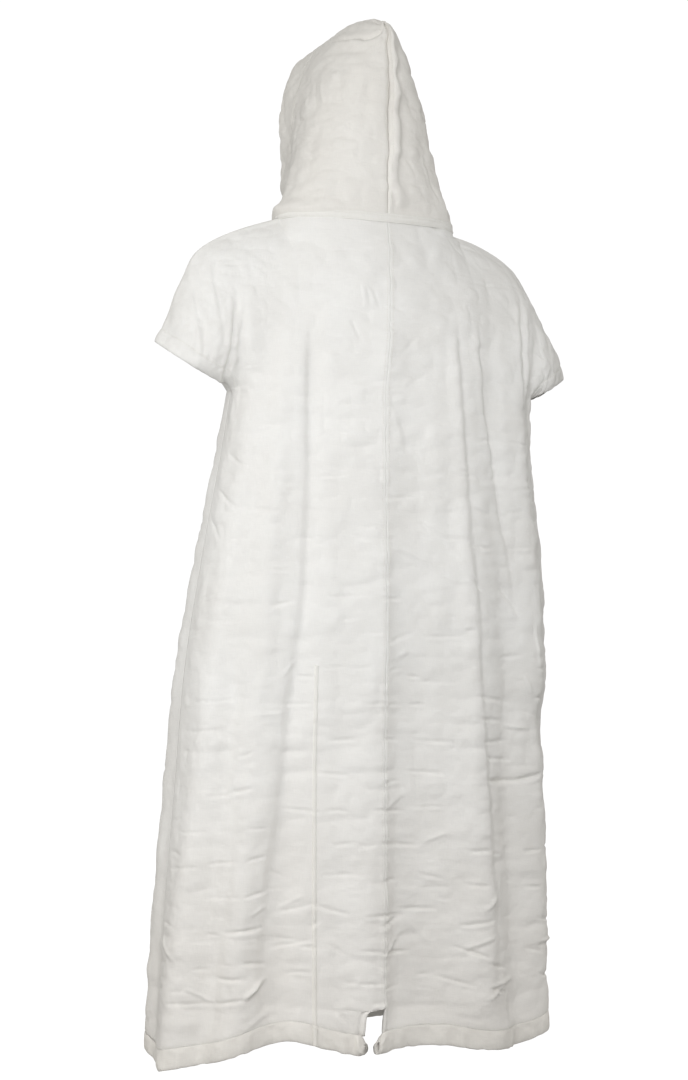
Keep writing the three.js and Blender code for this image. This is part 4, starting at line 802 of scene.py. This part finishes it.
def build_hood(side):
    near = np.asarray([0, 0.004, 0.008, 0.013, 0.02, 0.028])
    psi = np.concatenate([near, np.linspace(0.038, 1, 106)])
    h = np.concatenate([np.linspace(0, 0.985, 124), [0.99, 0.995, 1.0]])
    PS, H = np.meshgrid(psi, h)
    P, n = hood_point(side, PS, H), hood_normal(side, PS, H)
    S = along(P, 1)
    V = along(P, 0)
    to_face = S[:, -1:] - S
    to_crown = V[-1:] - V
    # the peak dips a little before its back corner
    P[..., 2] -= (4.0 * bell((PS - 0.21) / 0.07) - 1.5 * bell((PS - 0.04) / 0.06)) * smooth(1 - to_crown / 18)
    Z = P[..., 2]
    F = np.zeros(S.shape)
    s = S * side
    brick_creases(F, s, Z, lambda s, z: 0.5, 31 + side, (-300, 300), (20, 262), 38, 48)
    for row in HOOD_MARKS:
        if row[0] * side > 0:
            crease(F, s, Z, *row)
    for half, path, depth, wide in HOOD_LINES:
        if half == side:
            trough(F, s, Z, path, depth, wide)
    if side < 0:
        long_fold(F, s, Z, *HOOD_WELT)
    # the cloth stands out between the crown and the face
    F += (10 * bell((PS - 0.55) / 0.20) * bell((H - 0.78) / 0.17) + 6 * bell((PS - 0.62) / 0.18) * bell((H - 0.5) / 0.22)) * (1.0 if side > 0 else 0.3)
    F += soft_field(s + 900, Z + 40, 1.7)
    F *= smooth(V / 14) * smooth(to_crown / 10) * smooth(S / 8)
    if side > 0:
        # a fold under the crown, and the roll above the neck seam
        line = Z - curve([(0, 237), (8, 235.5), (20, 231), (35, 227.5), (55, 227.5), (78, 229), (119, 232), (150, 226)], 1, np.minimum(S, 150)) - 1.6 * NOISES[3](S / 17, S * 0 + 3)
        reach = smooth((S - 4) / 10) * smooth((150 - S) / 50) * smooth((to_crown - 2) / 6)
        F += reach * (-5.6 * bell(line / 3.8) - 2.0 * smooth(line / 8) + 2.0 * bell((line + 7.5) / 5))
        roll = smooth((S - 58) / 40) * smooth((230 - S) / 40)
        F += roll * (4.6 * bell((V - 10) / 6.5) - 1.2 * bell((V - 24) / 5))
    pucker = NOISES[1](Z / 8.0, S / 30 + 3)
    F += (-1.2 * bell(S / 1.3) + 0.6 * bell((S - 5) / 2.6) + 0.9 * pucker * bell(S / 10)) * smooth(V / 10)
    # the seam itself wanders a little
    sway = (1.5 * NOISES[3](Z / 26, S * 0 + 5) + 0.7 * NOISES[2](Z / 9, S * 0 + 2)) * bell(S / 14) * smooth(V / 20) * smooth(to_crown / 20)
    F += -0.9 * bell(to_crown / 1.6) + 0.6 * bell((to_crown - 4.4) / 2.4)
    wavy = NOISES[2](V / 10, to_face / 30)
    line = 0.35 + 0.65 * smooth((100 - Z) / 30)
    F += (0.5 * bell((to_face - 20) / 18) - 1.3 * line * bell((to_face - FACE_HEM) / 2.0) + 0.7 * wavy * bell((to_face - FACE_HEM) / 9)) * smooth(V / 10)
    F *= smooth(to_crown / 2.0 + 0.3)
    F = np.clip(F, -14, 9)
    O = P + n * F[..., None]
    O = round_edge(O, n, None, to_face)
    I = P + n * (F - CLOTH)[..., None]
    O[..., 0] = np.maximum(O[..., 0] * side, 0.15) * side
    I[..., 0] = np.maximum(I[..., 0] * side, 0.15) * side
    for A in (O, I):
        A[:, 0, 0] = 0.01 * side
        A[-1, :, 0] = 0.01 * side
        A[..., 0] += sway
    I[0, :, 2] = np.maximum(I[0, :, 2], P[0, :, 2])
    name = "cloth_hood_left" if side > 0 else "cloth_hood_right"
    GRID[name] = (O, n, S, V, PS, H, Z)
    return shell(name, O, I, np.stack([S * side + 300, V], -1), side < 0)


def casing_frame(is_back, q):
    """The casing's top and bottom points and its directions, for an array of q."""
    q = np.asarray(q, float)
    low = curve(UNDERARM, 1, q)
    edge = hem_edge(direction(is_back, q, HEM_LEVEL))
    t_top = 2 - CASING_DEPTH / (low - edge)
    top, bottom = body_point(is_back, q, t_top), body_point(is_back, q, np.full(q.shape, 2.0))
    down = unit(bottom - top)
    e = 0.006
    qa, qb = np.clip(q - e, -1, 1), np.clip(q + e, -1, 1)
    tan = unit(body_point(is_back, qb, t_top) - body_point(is_back, qa, t_top))
    end = smooth(1 - (1 - np.abs(q)) / 0.01)
    other = unit(body_point(not is_back, qb, t_top) - body_point(not is_back, qa, t_top))
    tan = unit(tan - other * end[..., None])
    out = unit(np.cross(tan, down))
    return top, down, out if is_back else -out


def build_casing(name, is_back, q, nose, nose_first):
    top, down, out = casing_frame(is_back, q)
    arc = np.concatenate([[0], np.cumsum(np.linalg.norm(np.diff(top, axis=0), axis=1))])
    N = 30
    a = np.linspace(0, 2 * np.pi, N, endpoint=False)
    # section: round below, pinched at the stitch line above
    c, s = np.cos(a), np.sin(a)
    depth = CASING_DEPTH / 2 - 0.3
    S = CASING_DEPTH / 2 + 0.15 + depth * np.sign(-c) * np.abs(c) ** 0.85
    pinch = 0.42 + 0.58 * smooth(S / 6)
    half = (CASING_THICK / 2 + 0.25) * pinch
    Nn = (CASING_PROUD - CASING_THICK / 2) * (0.4 + 0.6 * smooth(S / 7)) + half * np.sign(s) * np.abs(s) ** 0.75
    reach = nose(q) if nose else np.ones(len(q))
    pk = NOISES[0](arc / 8.5, np.full(len(q), 4.0)) * 1.0 + NOISES[3](arc / 21, np.full(len(q), 9.0)) * 1.3
    tan = unit(np.gradient(top, axis=0))
    # open ends are cut on the slant and show the hollow behind them
    if nose:
        gap = arc if nose_first else arc[-1] - arc
        slant = smooth(1 - gap / 26)[:, None] * tan * (1.6 if nose_first else -1)
        flare = 0.75 * smooth(1 - gap / 24)
    sag = 0 * q if is_back else 14 * bell((np.degrees(direction(False, q, HEM_LEVEL)) - 198) / 14)
    ring, hole = [], []
    for k in range(N):
        sk = CASING_DEPTH - (CASING_DEPTH - S[k]) * reach
        body = smooth(S[k] / 8)
        wide = Nn[k] + (half[k] * np.sign(s[k]) * np.abs(s[k]) ** 0.75 * flare if nose else 0)
        nk = wide + pk * (0.9 if s[k] > 0 else -0.5) * body + 0.45 * NOISES[2](arc / 5.5, np.full(len(q), S[k] / 6)) * body + 0.9 * NOISES[1]((arc + S[k] * 0.8) / 13, np.full(len(q), S[k] / 30)) * body
        low = smooth((S[k] - 14) / 12)
        dz = (1.2 * NOISES[1](arc / 30, np.full(len(q), 2.0)) + 1.1 * NOISES[2](arc / 9, np.full(len(q), 6.0))) * low + sag * smooth((S[k] - 6) / 18)
        p = top + down * (sk + dz)[:, None] + out * nk[:, None]
        if nose:
            p = p + slant * 9.0 * (0.5 + 0.5 * s[k]) + out * (2.0 * smooth(1 - gap / 34))[:, None]
        ring.append(p)
    ring = np.stack(ring, 1)
    centre = ring.mean(1, keepdims=True)
    mid = ring.mean(1)
    rel = ring - mid[:, None]
    height = np.einsum("ijk,ik->ij", rel, down)[..., None] * down[:, None]
    thick = np.einsum("ijk,ik->ij", rel, out)[..., None] * out[:, None]
    hole = mid[:, None] + height * 0.84 + thick * 0.62
    R = len(q)
    verts = np.concatenate([ring.reshape(-1, 3), hole.reshape(-1, 3)])
    i = np.arange(R * N).reshape(R, N)
    j = np.roll(i, -1, 1)
    f = [np.stack([i[:-1], j[:-1], j[1:], i[1:]], -1).reshape(-1, 4)]
    f.append(np.stack([i[:-1], i[1:], j[1:], j[:-1]], -1).reshape(-1, 4) + R * N)
    f.append(np.stack([i[0], i[0] + R * N, j[0] + R * N, j[0]], -1))
    f.append(np.stack([i[-1], j[-1], j[-1] + R * N, i[-1] + R * N], -1))
    faces = np.concatenate(f)
    if is_back:
        faces = faces[:, ::-1]
    girth = np.broadcast_to(a * 10, (R, N))
    uv = np.stack([np.broadcast_to(arc[:, None] + 40, (R, N)), girth], -1).reshape(-1, 2)
    uv = np.concatenate([uv, uv])
    GRID[name] = (ring, np.broadcast_to(out[:, None], ring.shape).copy(), ring[..., 0], ring[..., 2])
    return mesh_object(name, verts, faces, uv)


def build_band():
    steps = 66
    ks = [(True, i / steps) for i in range(-steps, steps)] + [(False, i / steps) for i in range(steps, -steps, -1)]
    C = len(ks)
    rows = 9
    O, I = np.zeros((rows, C, 3)), np.zeros((rows, C, 3))
    for is_back in (True, False):
        idx = np.asarray([j for j, x in enumerate(ks) if x[0] == is_back])
        k = np.asarray([ks[j][1] for j in idx])
        side = np.where(k < 0, -1, 1)
        psi = np.abs(k) / 2 if is_back else 1 - np.abs(k) / 2
        w = smooth((np.abs(k) - 0.93) / 0.07)
        q = k * NECK_SHARE + side * 0.014 * w
        t = BAND_REACH * 1.3 * (1 - w)
        low = body_point(is_back, q, t)
        lowN = body_normal(is_back, q, np.maximum(t, 0.004))
        high = np.zeros((len(k), 3))
        highN = np.zeros((len(k), 3))
        for sd in (1, -1):
            m = side == sd
            if m.any():
                high[m] = hood_point(sd, np.clip(psi[m], 0, 0.97), BAND_REACH)
                highN[m] = hood_normal(sd, np.clip(psi[m], 0.02, 0.97), BAND_REACH)
        mid = (psi < 1e-6) | (psi > 0.999)
        lowN[mid, 0] = 0
        highN[mid, 0] = 0
        high[mid, 0] = 0
        nx, ny, nz = neck_line(is_back, (np.pi / 2) * np.abs(k))
        seam = np.stack([nx * side, ny, nz + 0.3], -1)
        seamN = unit(unit(lowN) + unit(highN))
        for r in range(rows):
            u = r / (rows - 1)
            a, b, c = (1 - u) * (1 - 2 * u), 4 * u * (1 - u), u * (2 * u - 1)
            p = low * a + seam * b + high * c
            nn = unit(lowN * max(1 - 2 * u, 0) + seamN * (1 - abs(2 * u - 1)) + highN * max(2 * u - 1, 0))
            # two stitched edges with a soft welt between them
            lift = -0.10 + 0.45 * math.sin(math.pi * u) - (0.4 if r in (2, rows - 3) else 0)
            pk = NOISES[0](np.arange(len(k)) / 3.1 + 8 * is_back, np.full(len(k), u * 2.0)) * 0.4
            edge = 0.75 if r in (0, rows - 1) else 0
            O[r, idx] = p + nn * (lift + 1.15 + pk - edge)[:, None]
            I[r, idx] = p + nn * (0.05 + 0 * pk)[:, None]
    O = np.concatenate([O, O[:, :1]], 1)
    I = np.concatenate([I, I[:, :1]], 1)
    R, C1 = O.shape[:2]
    verts = np.concatenate([O[:, :-1].reshape(-1, 3), I[:, :-1].reshape(-1, 3)])
    i = np.arange(R * C).reshape(R, C)
    j = np.roll(i, -1, 1)
    n = R * C
    f = [np.stack([i[:-1], i[1:], j[1:], j[:-1]], -1).reshape(-1, 4),
         np.stack([i[:-1], j[:-1], j[1:], i[1:]], -1).reshape(-1, 4) + n,
         np.stack([i[0], j[0], j[0] + n, i[0] + n], -1), np.stack([i[-1], i[-1] + n, j[-1] + n, j[-1]], -1)]
    arc = np.broadcast_to(np.arange(C) * 2.5, (R, C))
    wide = np.broadcast_to(np.arange(R)[:, None] * 1.4, (R, C))
    uv = np.stack([arc, wide], -1).reshape(-1, 2)
    GRID["cloth_neck_band"] = (O, unit(O - I), O[..., 0], O[..., 2])
    return mesh_object("cloth_neck_band", verts, np.concatenate(f), np.concatenate([uv, uv]))


def build_strip():
    O_, n_, S_, Z_, Q_, T_, up_ = GRID["cloth_back_left"]
    rows = 230
    low = float(curve(UNDERARM, 1, STRIP_Q))
    edge = float(hem_edge(direction(True, np.asarray(STRIP_Q_HEM), HEM_LEVEL)))
    z = np.linspace(STRIP_TOP, edge + 1.5, rows)
    q0 = STRIP_Q_HEM + (STRIP_Q - STRIP_Q_HEM) * (z - edge) / (STRIP_TOP - edge)
    half = STRIP_WIDTH / 2 / SEAM_ARC / 85.5
    over_casing = smooth((edge + CASING_DEPTH + 2 - z) / 3)
    # row numbers of the panel's grid for these heights
    column = int(np.argmin(np.abs(Q_[200] - STRIP_Q)))
    row = np.interp(-z, -Z_[:, column], np.arange(Z_.shape[0]))
    O, I, uv = [], [], []
    for c, k in enumerate([-1, -0.8, -0.4, 0, 0.4, 0.8, 1]):
        q = q0 + half * k
        col = np.interp(q, Q_[200], np.arange(Q_.shape[1]))
        p, n, _, _ = sample("cloth_back_left", row, col)
        n = unit(n)
        tt = 1 + (low - z) / (low - edge)
        base, bn = body_point(True, q, np.clip(tt, 0, 2)), body_normal(True, q, np.clip(tt, 0, 1.99))
        w = over_casing[:, None]
        p, n = p * (1 - w) + (base + bn * 1.5) * w, unit(n * (1 - w) + bn * w)
        wrinkle = 0.35 * NOISES[0](z / 6.0, np.full(rows, k * 0.4)) * (1 - abs(k) * 0.5)
        lift = 0.25 + 1.0 * (1 - abs(k) ** 3) + wrinkle
        O.append(p + n * (lift + 0.25)[:, None])
        I.append(p - n * 0.5)
        uv.append(np.stack([np.full(rows, k * 3.0), z], -1))
    O, I, uv = np.stack(O, 1), np.stack(I, 1), np.stack(uv, 1)
    GRID["cloth_seam_strip"] = (O, unit(O - I), O[..., 0], O[..., 2])
    return shell("cloth_seam_strip", O, I, uv, True)


# ---------------------------------------------------------------- stitching


def stitches(lines, pitch=3.4, length=2.5, radius=0.34):
    """One joined mesh of thread stitches along lines of (points, normals)."""
    turns = [(math.cos(a), math.sin(a)) for a in np.linspace(0, 2 * math.pi, 4, endpoint=False)]
    V, count = [], 0
    for P, n in lines:
        run = np.concatenate([[0], np.cumsum(np.linalg.norm(np.diff(P, axis=0), axis=1))])
        x = np.arange(pitch, run[-1] - pitch, pitch)

        def at(x, A):
            return np.stack([np.interp(x, run, A[:, k]) for k in range(3)], -1)

        tan, nn = unit(at(x + 0.6, P) - at(x - 0.6, P)), unit(at(x, n))
        aside = unit(np.cross(tan, nn))
        rings = [at(x - length / 2, P) - nn * 0.1]
        for e, r in ((-0.38, 0.8), (0, 1), (0.38, 0.8)):
            c = at(x + e * length, P) + nn * (0.10 + 0.18 * r)
            rings += [c + (aside * a + nn * b) * radius * r for a, b in turns]
        rings.append(at(x + length / 2, P) - nn * 0.1)
        V.append(np.stack(rings, 1).reshape(-1, 3))
        count += len(x)
    F = []
    for k in range(4):
        m = (k + 1) % 4
        F.append((0, 1 + m, 1 + k))
        for o in (1, 5):
            F.append((o + k, o + m, o + 4 + m))
            F.append((o + k, o + 4 + m, o + 4 + k))
        F.append((13, 9 + k, 9 + m))
    F = np.asarray(F)
    faces = (F[None] + (np.arange(count) * 14)[:, None, None]).reshape(-1, 3)
    return mesh_object("thread_stitching", np.concatenate(V), faces)


def grid_line(name, pick, rows):
    """A line over a grid: for each row the column where pick(row) says."""
    r = np.asarray(rows, float)
    c = np.asarray([pick(k) for k in rows], float)
    p, m, _, _ = sample(name, r, c)
    return p, unit(m)


def make_stitching():
    lines = []
    for name in ("cloth_back_left", "cloth_back_right"):
        O, n, S, Z, Q, T, up = GRID[name]
        aS = np.abs(along(O, 1))
        for off in (4.6,):
            rows = [r for r in range(4, O.shape[0]) if up[r, 0] > 58]
            lines.append(grid_line(name, lambda r: np.interp(off, aS[r], np.arange(O.shape[1])), rows))
        total = aS[:, -1]
        rows = list(range(2, 119))
        lines.append(grid_line(name, lambda r: np.interp(total[r] - SLEEVE_HEM, aS[r], np.arange(O.shape[1])), rows))
        row = [float(np.interp(-(CASING_DEPTH + 1.6), -up[:, c], np.arange(O.shape[0]))) for c in range(O.shape[1])]
        p, m, _, _ = sample(name, np.asarray(row), np.arange(O.shape[1], dtype=float))
        lines.append((p, unit(m)))
    O, n, S, Z, Q, T, up = GRID["cloth_front"]
    row = [float(np.interp(-(CASING_DEPTH + 1.6), -up[:, c], np.arange(O.shape[0]))) for c in range(O.shape[1])]
    p, m, _, _ = sample("cloth_front", np.asarray(row), np.arange(O.shape[1], dtype=float))
    lines.append((p, unit(m)))
    run = along(O, 1)
    for sgn in (1, -1):
        rows = list(range(2, 55))
        pick = (lambda r: np.interp(SLEEVE_HEM, run[r], np.arange(O.shape[1]))) if sgn < 0 else (
            lambda r: np.interp(run[r, -1] - SLEEVE_HEM, run[r], np.arange(O.shape[1])))
        lines.append(grid_line("cloth_front", pick, rows))
    for name in ("cloth_hood_left", "cloth_hood_right"):
        O, n, S, V, PS, H, Z = GRID[name]
        rows = list(range(5, O.shape[0] - 3))
        lines.append(grid_line(name, lambda r: np.interp(S[r, -1] - FACE_HEM, S[r], np.arange(O.shape[1])), rows))
        lines.append(grid_line(name, lambda r: np.interp(4.4, S[r], np.arange(O.shape[1])), list(range(8, O.shape[0] - 10))))
    O = GRID["cloth_neck_band"][0]
    for r in (2, 6):
        c = np.arange(O.shape[1], dtype=float)
        p, m, _, _ = sample("cloth_neck_band", np.full(len(c), float(r)), c)
        lines.append((p, unit(m)))
    return stitches(lines)


# ---------------------------------------------------------------- materials


def nodes_of(mat):
    mat.use_nodes = True
    t = mat.node_tree
    t.nodes.clear()
    return t


def cotton(name, tint=(1, 1, 1), crinkle=1.0):
    mat = bpy.data.materials.new(name)
    t = nodes_of(mat)
    N, L = t.nodes.new, t.links.new
    out = N("ShaderNodeOutputMaterial")
    bsdf = N("ShaderNodeBsdfPrincipled")
    L(bsdf.outputs[0], out.inputs[0])
    bsdf.inputs["Roughness"].default_value = 0.92
    bsdf.inputs["Specular IOR Level"].default_value = 0.18
    bsdf.inputs["Sheen Weight"].default_value = 0.22
    bsdf.inputs["Sheen Roughness"].default_value = 0.55
    bsdf.inputs["Sheen Tint"].default_value = (1, 0.99, 0.96, 1)
    co = N("ShaderNodeTexCoord")
    uv = N("ShaderNodeUVMap")
    uv.uv_map = "cloth"

    def noise(source, scale, detail, rough=0.55, stretch=None):
        n = N("ShaderNodeTexNoise")
        n.inputs["Scale"].default_value = scale
        n.inputs["Detail"].default_value = detail
        n.inputs["Roughness"].default_value = rough
        if stretch:
            m = N("ShaderNodeMapping")
            m.inputs["Scale"].default_value = stretch
            L(source, m.inputs[0])
            source = m.outputs[0]
        L(source, n.inputs["Vector"])
        return n.outputs["Fac"]

    # colour: off-white, a little warmer and cooler in patches, with faint upright slubs
    patch = noise(co.outputs["Object"], 9, 4)
    slub = noise(uv.outputs[0], 5, 3, 0.6, (22, 1.6, 1))
    weft = noise(uv.outputs[0], 5, 3, 0.6, (1.6, 24, 1))
    ramp = N("ShaderNodeValToRGB")
    ramp.color_ramp.elements[0].position = 0.32
    ramp.color_ramp.elements[0].color = (0.800 * tint[0], 0.790 * tint[1], 0.762 * tint[2], 1)
    ramp.color_ramp.elements[1].position = 0.68
    ramp.color_ramp.elements[1].color = (0.850 * tint[0], 0.845 * tint[1], 0.822 * tint[2], 1)
    L(patch, ramp.inputs[0])
    yarn = N("ShaderNodeMath")
    yarn.operation = "ADD"
    L(slub, yarn.inputs[0])
    L(weft, yarn.inputs[1])
    level = N("ShaderNodeMapRange")
    level.inputs["From Min"].default_value = 0.7
    level.inputs["From Max"].default_value = 1.3
    level.inputs["To Min"].default_value = 0.965
    level.inputs["To Max"].default_value = 1.02
    L(yarn.outputs[0], level.inputs["Value"])
    mul = N("ShaderNodeVectorMath")
    mul.operation = "SCALE"
    L(ramp.outputs[0], mul.inputs[0])
    L(level.outputs[0], mul.inputs["Scale"])
    # painted shade: towards the hem the colour turns a little darker and warmer, where the light falls off
    xyz = N("ShaderNodeSeparateXYZ")
    L(co.outputs["Object"], xyz.inputs[0])
    fall = N("ShaderNodeMapRange")
    fall.inputs["From Min"].default_value = -0.60
    fall.inputs["From Max"].default_value = -1.10
    L(xyz.outputs["Z"], fall.inputs["Value"])
    hem_shade_tint = N("ShaderNodeMix")
    hem_shade_tint.data_type = "RGBA"
    hem_shade_tint.inputs[6].default_value = (1, 1, 1, 1)
    hem_shade_tint.inputs[7].default_value = (1.0, 0.978, 0.958, 1)
    L(fall.outputs[0], hem_shade_tint.inputs[0])
    both = N("ShaderNodeVectorMath")
    both.operation = "MULTIPLY"
    L(mul.outputs[0], both.inputs[0])
    L(hem_shade_tint.outputs[2], both.inputs[1])
    L(both.outputs[0], bsdf.inputs["Base Color"])

    # relief: plain weave, yarn slubs and fine crinkle
    def wave(direction):
        w = N("ShaderNodeTexWave")
        w.wave_type = "BANDS"
        w.bands_direction = direction
        w.wave_profile = "SIN"
        w.inputs["Scale"].default_value = 36       # bands of about 0.9 mm
        w.inputs["Distortion"].default_value = 1.2
        w.inputs["Detail"].default_value = 1
        w.inputs["Detail Scale"].default_value = 1.5
        L(uv.outputs[0], w.inputs["Vector"])
        return w.outputs["Fac"]

    weave = N("ShaderNodeMath")
    weave.operation = "MAXIMUM"
    L(wave("X"), weave.inputs[0])
    L(wave("Y"), weave.inputs[1])

    def bump(height, strength, distance, after=None):
        b = N("ShaderNodeBump")
        b.inputs["Strength"].default_value = strength
        b.inputs["Distance"].default_value = distance
        L(height, b.inputs["Height"])
        if after:
            L(after, b.inputs["Normal"])
        return b.outputs[0]

    n = bump(weave.outputs[0], 0.5, 0.00016)
    n = bump(yarn.outputs[0], 0.5, 0.0005, n)
    n = bump(noise(uv.outputs[0], 3.2, 2, 0.5, (1.0, 1.5, 1)), 0.6 * crinkle, 0.0024, n)
    n = bump(noise(uv.outputs[0], 2.2, 2, 0.5, (0.5, 1.6, 1)), 0.5 * crinkle, 0.0022, n)
    n = bump(noise(co.outputs["Object"], 130, 3, 0.6), 0.4 * crinkle, 0.0006, n)
    L(n, bsdf.inputs["Normal"])
    return mat


def thread_material():
    mat = bpy.data.materials.new("cotton_thread")
    t = nodes_of(mat)
    N, L = t.nodes.new, t.links.new
    out = N("ShaderNodeOutputMaterial")
    bsdf = N("ShaderNodeBsdfPrincipled")
    L(bsdf.outputs[0], out.inputs[0])
    bsdf.inputs["Roughness"].default_value = 0.7
    bsdf.inputs["Sheen Weight"].default_value = 0.1
    co = N("ShaderNodeTexCoord")
    n = N("ShaderNodeTexNoise")
    n.inputs["Scale"].default_value = 400
    L(co.outputs["Object"], n.inputs["Vector"])
    ramp = N("ShaderNodeValToRGB")
    ramp.color_ramp.elements[0].color = (0.70, 0.69, 0.64, 1)
    ramp.color_ramp.elements[1].color = (0.86, 0.85, 0.80, 1)
    L(n.outputs["Fac"], ramp.inputs[0])
    L(ramp.outputs[0], bsdf.inputs["Base Color"])
    w = N("ShaderNodeTexWave")
    w.inputs["Scale"].default_value = 900
    L(co.outputs["Object"], w.inputs["Vector"])
    b = N("ShaderNodeBump")
    b.inputs["Strength"].default_value = 0.4
    b.inputs["Distance"].default_value = 0.0001
    L(w.outputs["Fac"], b.inputs["Height"])
    L(b.outputs[0], bsdf.inputs["Normal"])
    return mat


# ---------------------------------------------------------------- the garment
cloth_mat = cotton("crinkled_cotton")
hem_mat = cotton("crinkled_cotton_hem", (0.99, 0.985, 0.97), 0.8)
# the hood's copy of the cotton is tinted darker and warmer: painted shade, where the light falls off towards the top of
# the hood
hood_shaded_mat = cotton("crinkled_cotton_hood_shaded", (0.955, 0.940, 0.918), 1.2)

back_left, back_right = build_back(1), build_back(-1)
front = build_front()
hood_left, hood_right = build_hood(1), build_hood(-1)
band = build_band()
strip = build_strip()


def hem_columns(start, end, step=2.6):
    n = int(abs(end - start) * 430 / step)
    return np.linspace(start, end, n)


def nose(start):
    full = NOSE_HEIGHT / CASING_DEPTH
    return lambda q: full + (1 - full) * smooth(np.abs(q - start) / (NOSE_LENGTH / SEAM_ARC / 85.5))


left_start, right_start = NOSE_LEFT / SEAM_ARC / 85.5, NOSE_RIGHT / SEAM_ARC / 85.5
hem_left = build_casing("cloth_hem_back_left", True, hem_columns(left_start, 0.9995), nose(left_start), True)
hem_right = build_casing("cloth_hem_back_right", True, hem_columns(-0.9995, right_start), nose(right_start), False)
hem_front = build_casing("cloth_hem_front", False, hem_columns(-0.9995, 0.9995, 3.6), None, False)
threads = make_stitching()

PIECES = [
    # piece, node, flat width and length, area of the cut, material
    (back_left, "back_left", (0.44, 1.13), 0.32, cloth_mat),
    (back_right, "back_right", (0.46, 1.13), 0.37, cloth_mat),
    (front, "front", (0.88, 1.12), 0.66, cloth_mat),
    (hood_left, "hood_left", (0.26, 0.36), 0.076, hood_shaded_mat),
    (hood_right, "hood_right", (0.26, 0.36), 0.077, hood_shaded_mat),
    (band, "neck_band", (0.66, 0.012), 0.0076, hem_mat),
    (strip, "seam_strip", (0.010, 0.50), 0.0036, hem_mat),
    (hem_left, "hem_back_left", (0.32, 0.056), 0.0172, hem_mat),
    (hem_right, "hem_back_right", (0.37, 0.056), 0.0205, hem_mat),
    (hem_front, "hem_front", (0.68, 0.056), 0.0378, hem_mat),
]
for ob, node, flat, area, mat in PIECES:
    ob.data.materials.append(mat)
    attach(ob, "root")
    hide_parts(node)
threads.data.materials.append(thread_material())
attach(threads, "root")
NAMES = {node: ob for ob, node, *_ in PIECES}

# ---------------------------------------------------------------- floor, light, camera
FLOOR_Z = -1.46


def make_floor():
    me = bpy.data.meshes.new("floor")
    s = 14.0
    me.from_pydata([(-s, -s, FLOOR_Z), (s, -s, FLOOR_Z), (s, s, FLOOR_Z), (-s, s, FLOOR_Z)], [], [(0, 1, 2, 3)])
    ob = bpy.data.objects.new("floor", me)
    bpy.context.collection.objects.link(ob)
    mat = bpy.data.materials.new("floor_paper")
    t = nodes_of(mat)
    N, L = t.nodes.new, t.links.new
    out, paper, glow = N("ShaderNodeOutputMaterial"), N("ShaderNodeBsdfDiffuse"), N("ShaderNodeEmission")
    add, path, low = N("ShaderNodeAddShader"), N("ShaderNodeLightPath"), N("ShaderNodeMixShader")
    paper.inputs[0].default_value = (0.45, 0.45, 0.45, 1)
    glow.inputs[1].default_value = 0.86
    L(paper.outputs[0], add.inputs[0])
    L(glow.outputs[0], add.inputs[1])
    L(path.outputs["Is Camera Ray"], low.inputs[0])
    L(paper.outputs[0], low.inputs[1])
    L(add.outputs[0], low.inputs[2])
    L(low.outputs[0], out.inputs[0])
    me.materials.append(mat)


make_floor()

world = bpy.data.worlds.new("studio")
bpy.context.scene.world = world
world.use_nodes = True
wt = world.node_tree
wt.nodes.clear()
w_out = wt.nodes.new("ShaderNodeOutputWorld")
w_bg = wt.nodes.new("ShaderNodeBackground")
w_seen = wt.nodes.new("ShaderNodeBackground")
w_mix = wt.nodes.new("ShaderNodeMixShader")
w_path = wt.nodes.new("ShaderNodeLightPath")
w_bg.inputs[1].default_value = 0.46
w_seen.inputs[1].default_value = 1.05
w_bg.inputs[0].default_value = (1.0, 0.985, 0.955, 1)
w_seen.inputs[0].default_value = (1, 1, 1, 1)
wt.links.new(w_path.outputs["Is Camera Ray"], w_mix.inputs[0])
wt.links.new(w_bg.outputs[0], w_mix.inputs[1])
wt.links.new(w_seen.outputs[0], w_mix.inputs[2])
wt.links.new(w_mix.outputs[0], w_out.inputs[0])

VIEW_DEG = 24.0
DIST = 2.8
CAM_Z = -0.6166


def area_light(name, azimuth, dist, z, size, energy, aim_z=-0.55, colour=(1, 1, 1)):
    """A soft box at an azimuth from straight behind towards the wearer's left."""
    a = math.radians(azimuth)
    data = bpy.data.lights.new(name, "AREA")
    data.shape = "RECTANGLE"
    data.size, data.size_y = size
    data.energy = energy
    data.color = colour
    ob = bpy.data.objects.new(name, data)
    bpy.context.collection.objects.link(ob)
    ob.location = (dist * math.sin(a), dist * math.cos(a), z)
    from mathutils import Vector
    ob.rotation_euler = (Vector((0, 0, aim_z)) - ob.location).to_track_quat("-Z", "Y").to_euler()
    return ob


area_light("key", 26, 1.7, -0.05, (0.7, 0.7), 15.0, -0.42, (0.99, 1.0, 1.02))
area_light("side_left", 75, 2.4, -0.22, (1.2, 1.2), 12.0, -0.4, (1.0, 0.99, 0.97))
area_light("side_right", -60, 2.4, -0.15, (1.2, 1.0), 7.3, -0.4, (1.0, 0.99, 0.97))

cam_data = bpy.data.cameras.new("camera")
cam_data.sensor_fit = "VERTICAL"
cam_data.sensor_height = 24.0
cam_data.lens = 24.0 * 0.746 * 2800 / 1080
cam_data.shift_x = -20.5 / 1080
cam_data.shift_y = 140 / 1080
cam_data.clip_start, cam_data.clip_end = 0.05, 60
cam = bpy.data.objects.new("camera", cam_data)
bpy.context.collection.objects.link(cam)
va = math.radians(VIEW_DEG)
cam.location = (DIST * math.sin(va), DIST * math.cos(va), CAM_Z)
# looks level, back along its own direction
cam.rotation_euler = (math.pi / 2, 0, math.pi - va)
bpy.context.scene.camera = cam

bpy.context.scene.view_settings.view_transform = "Standard"
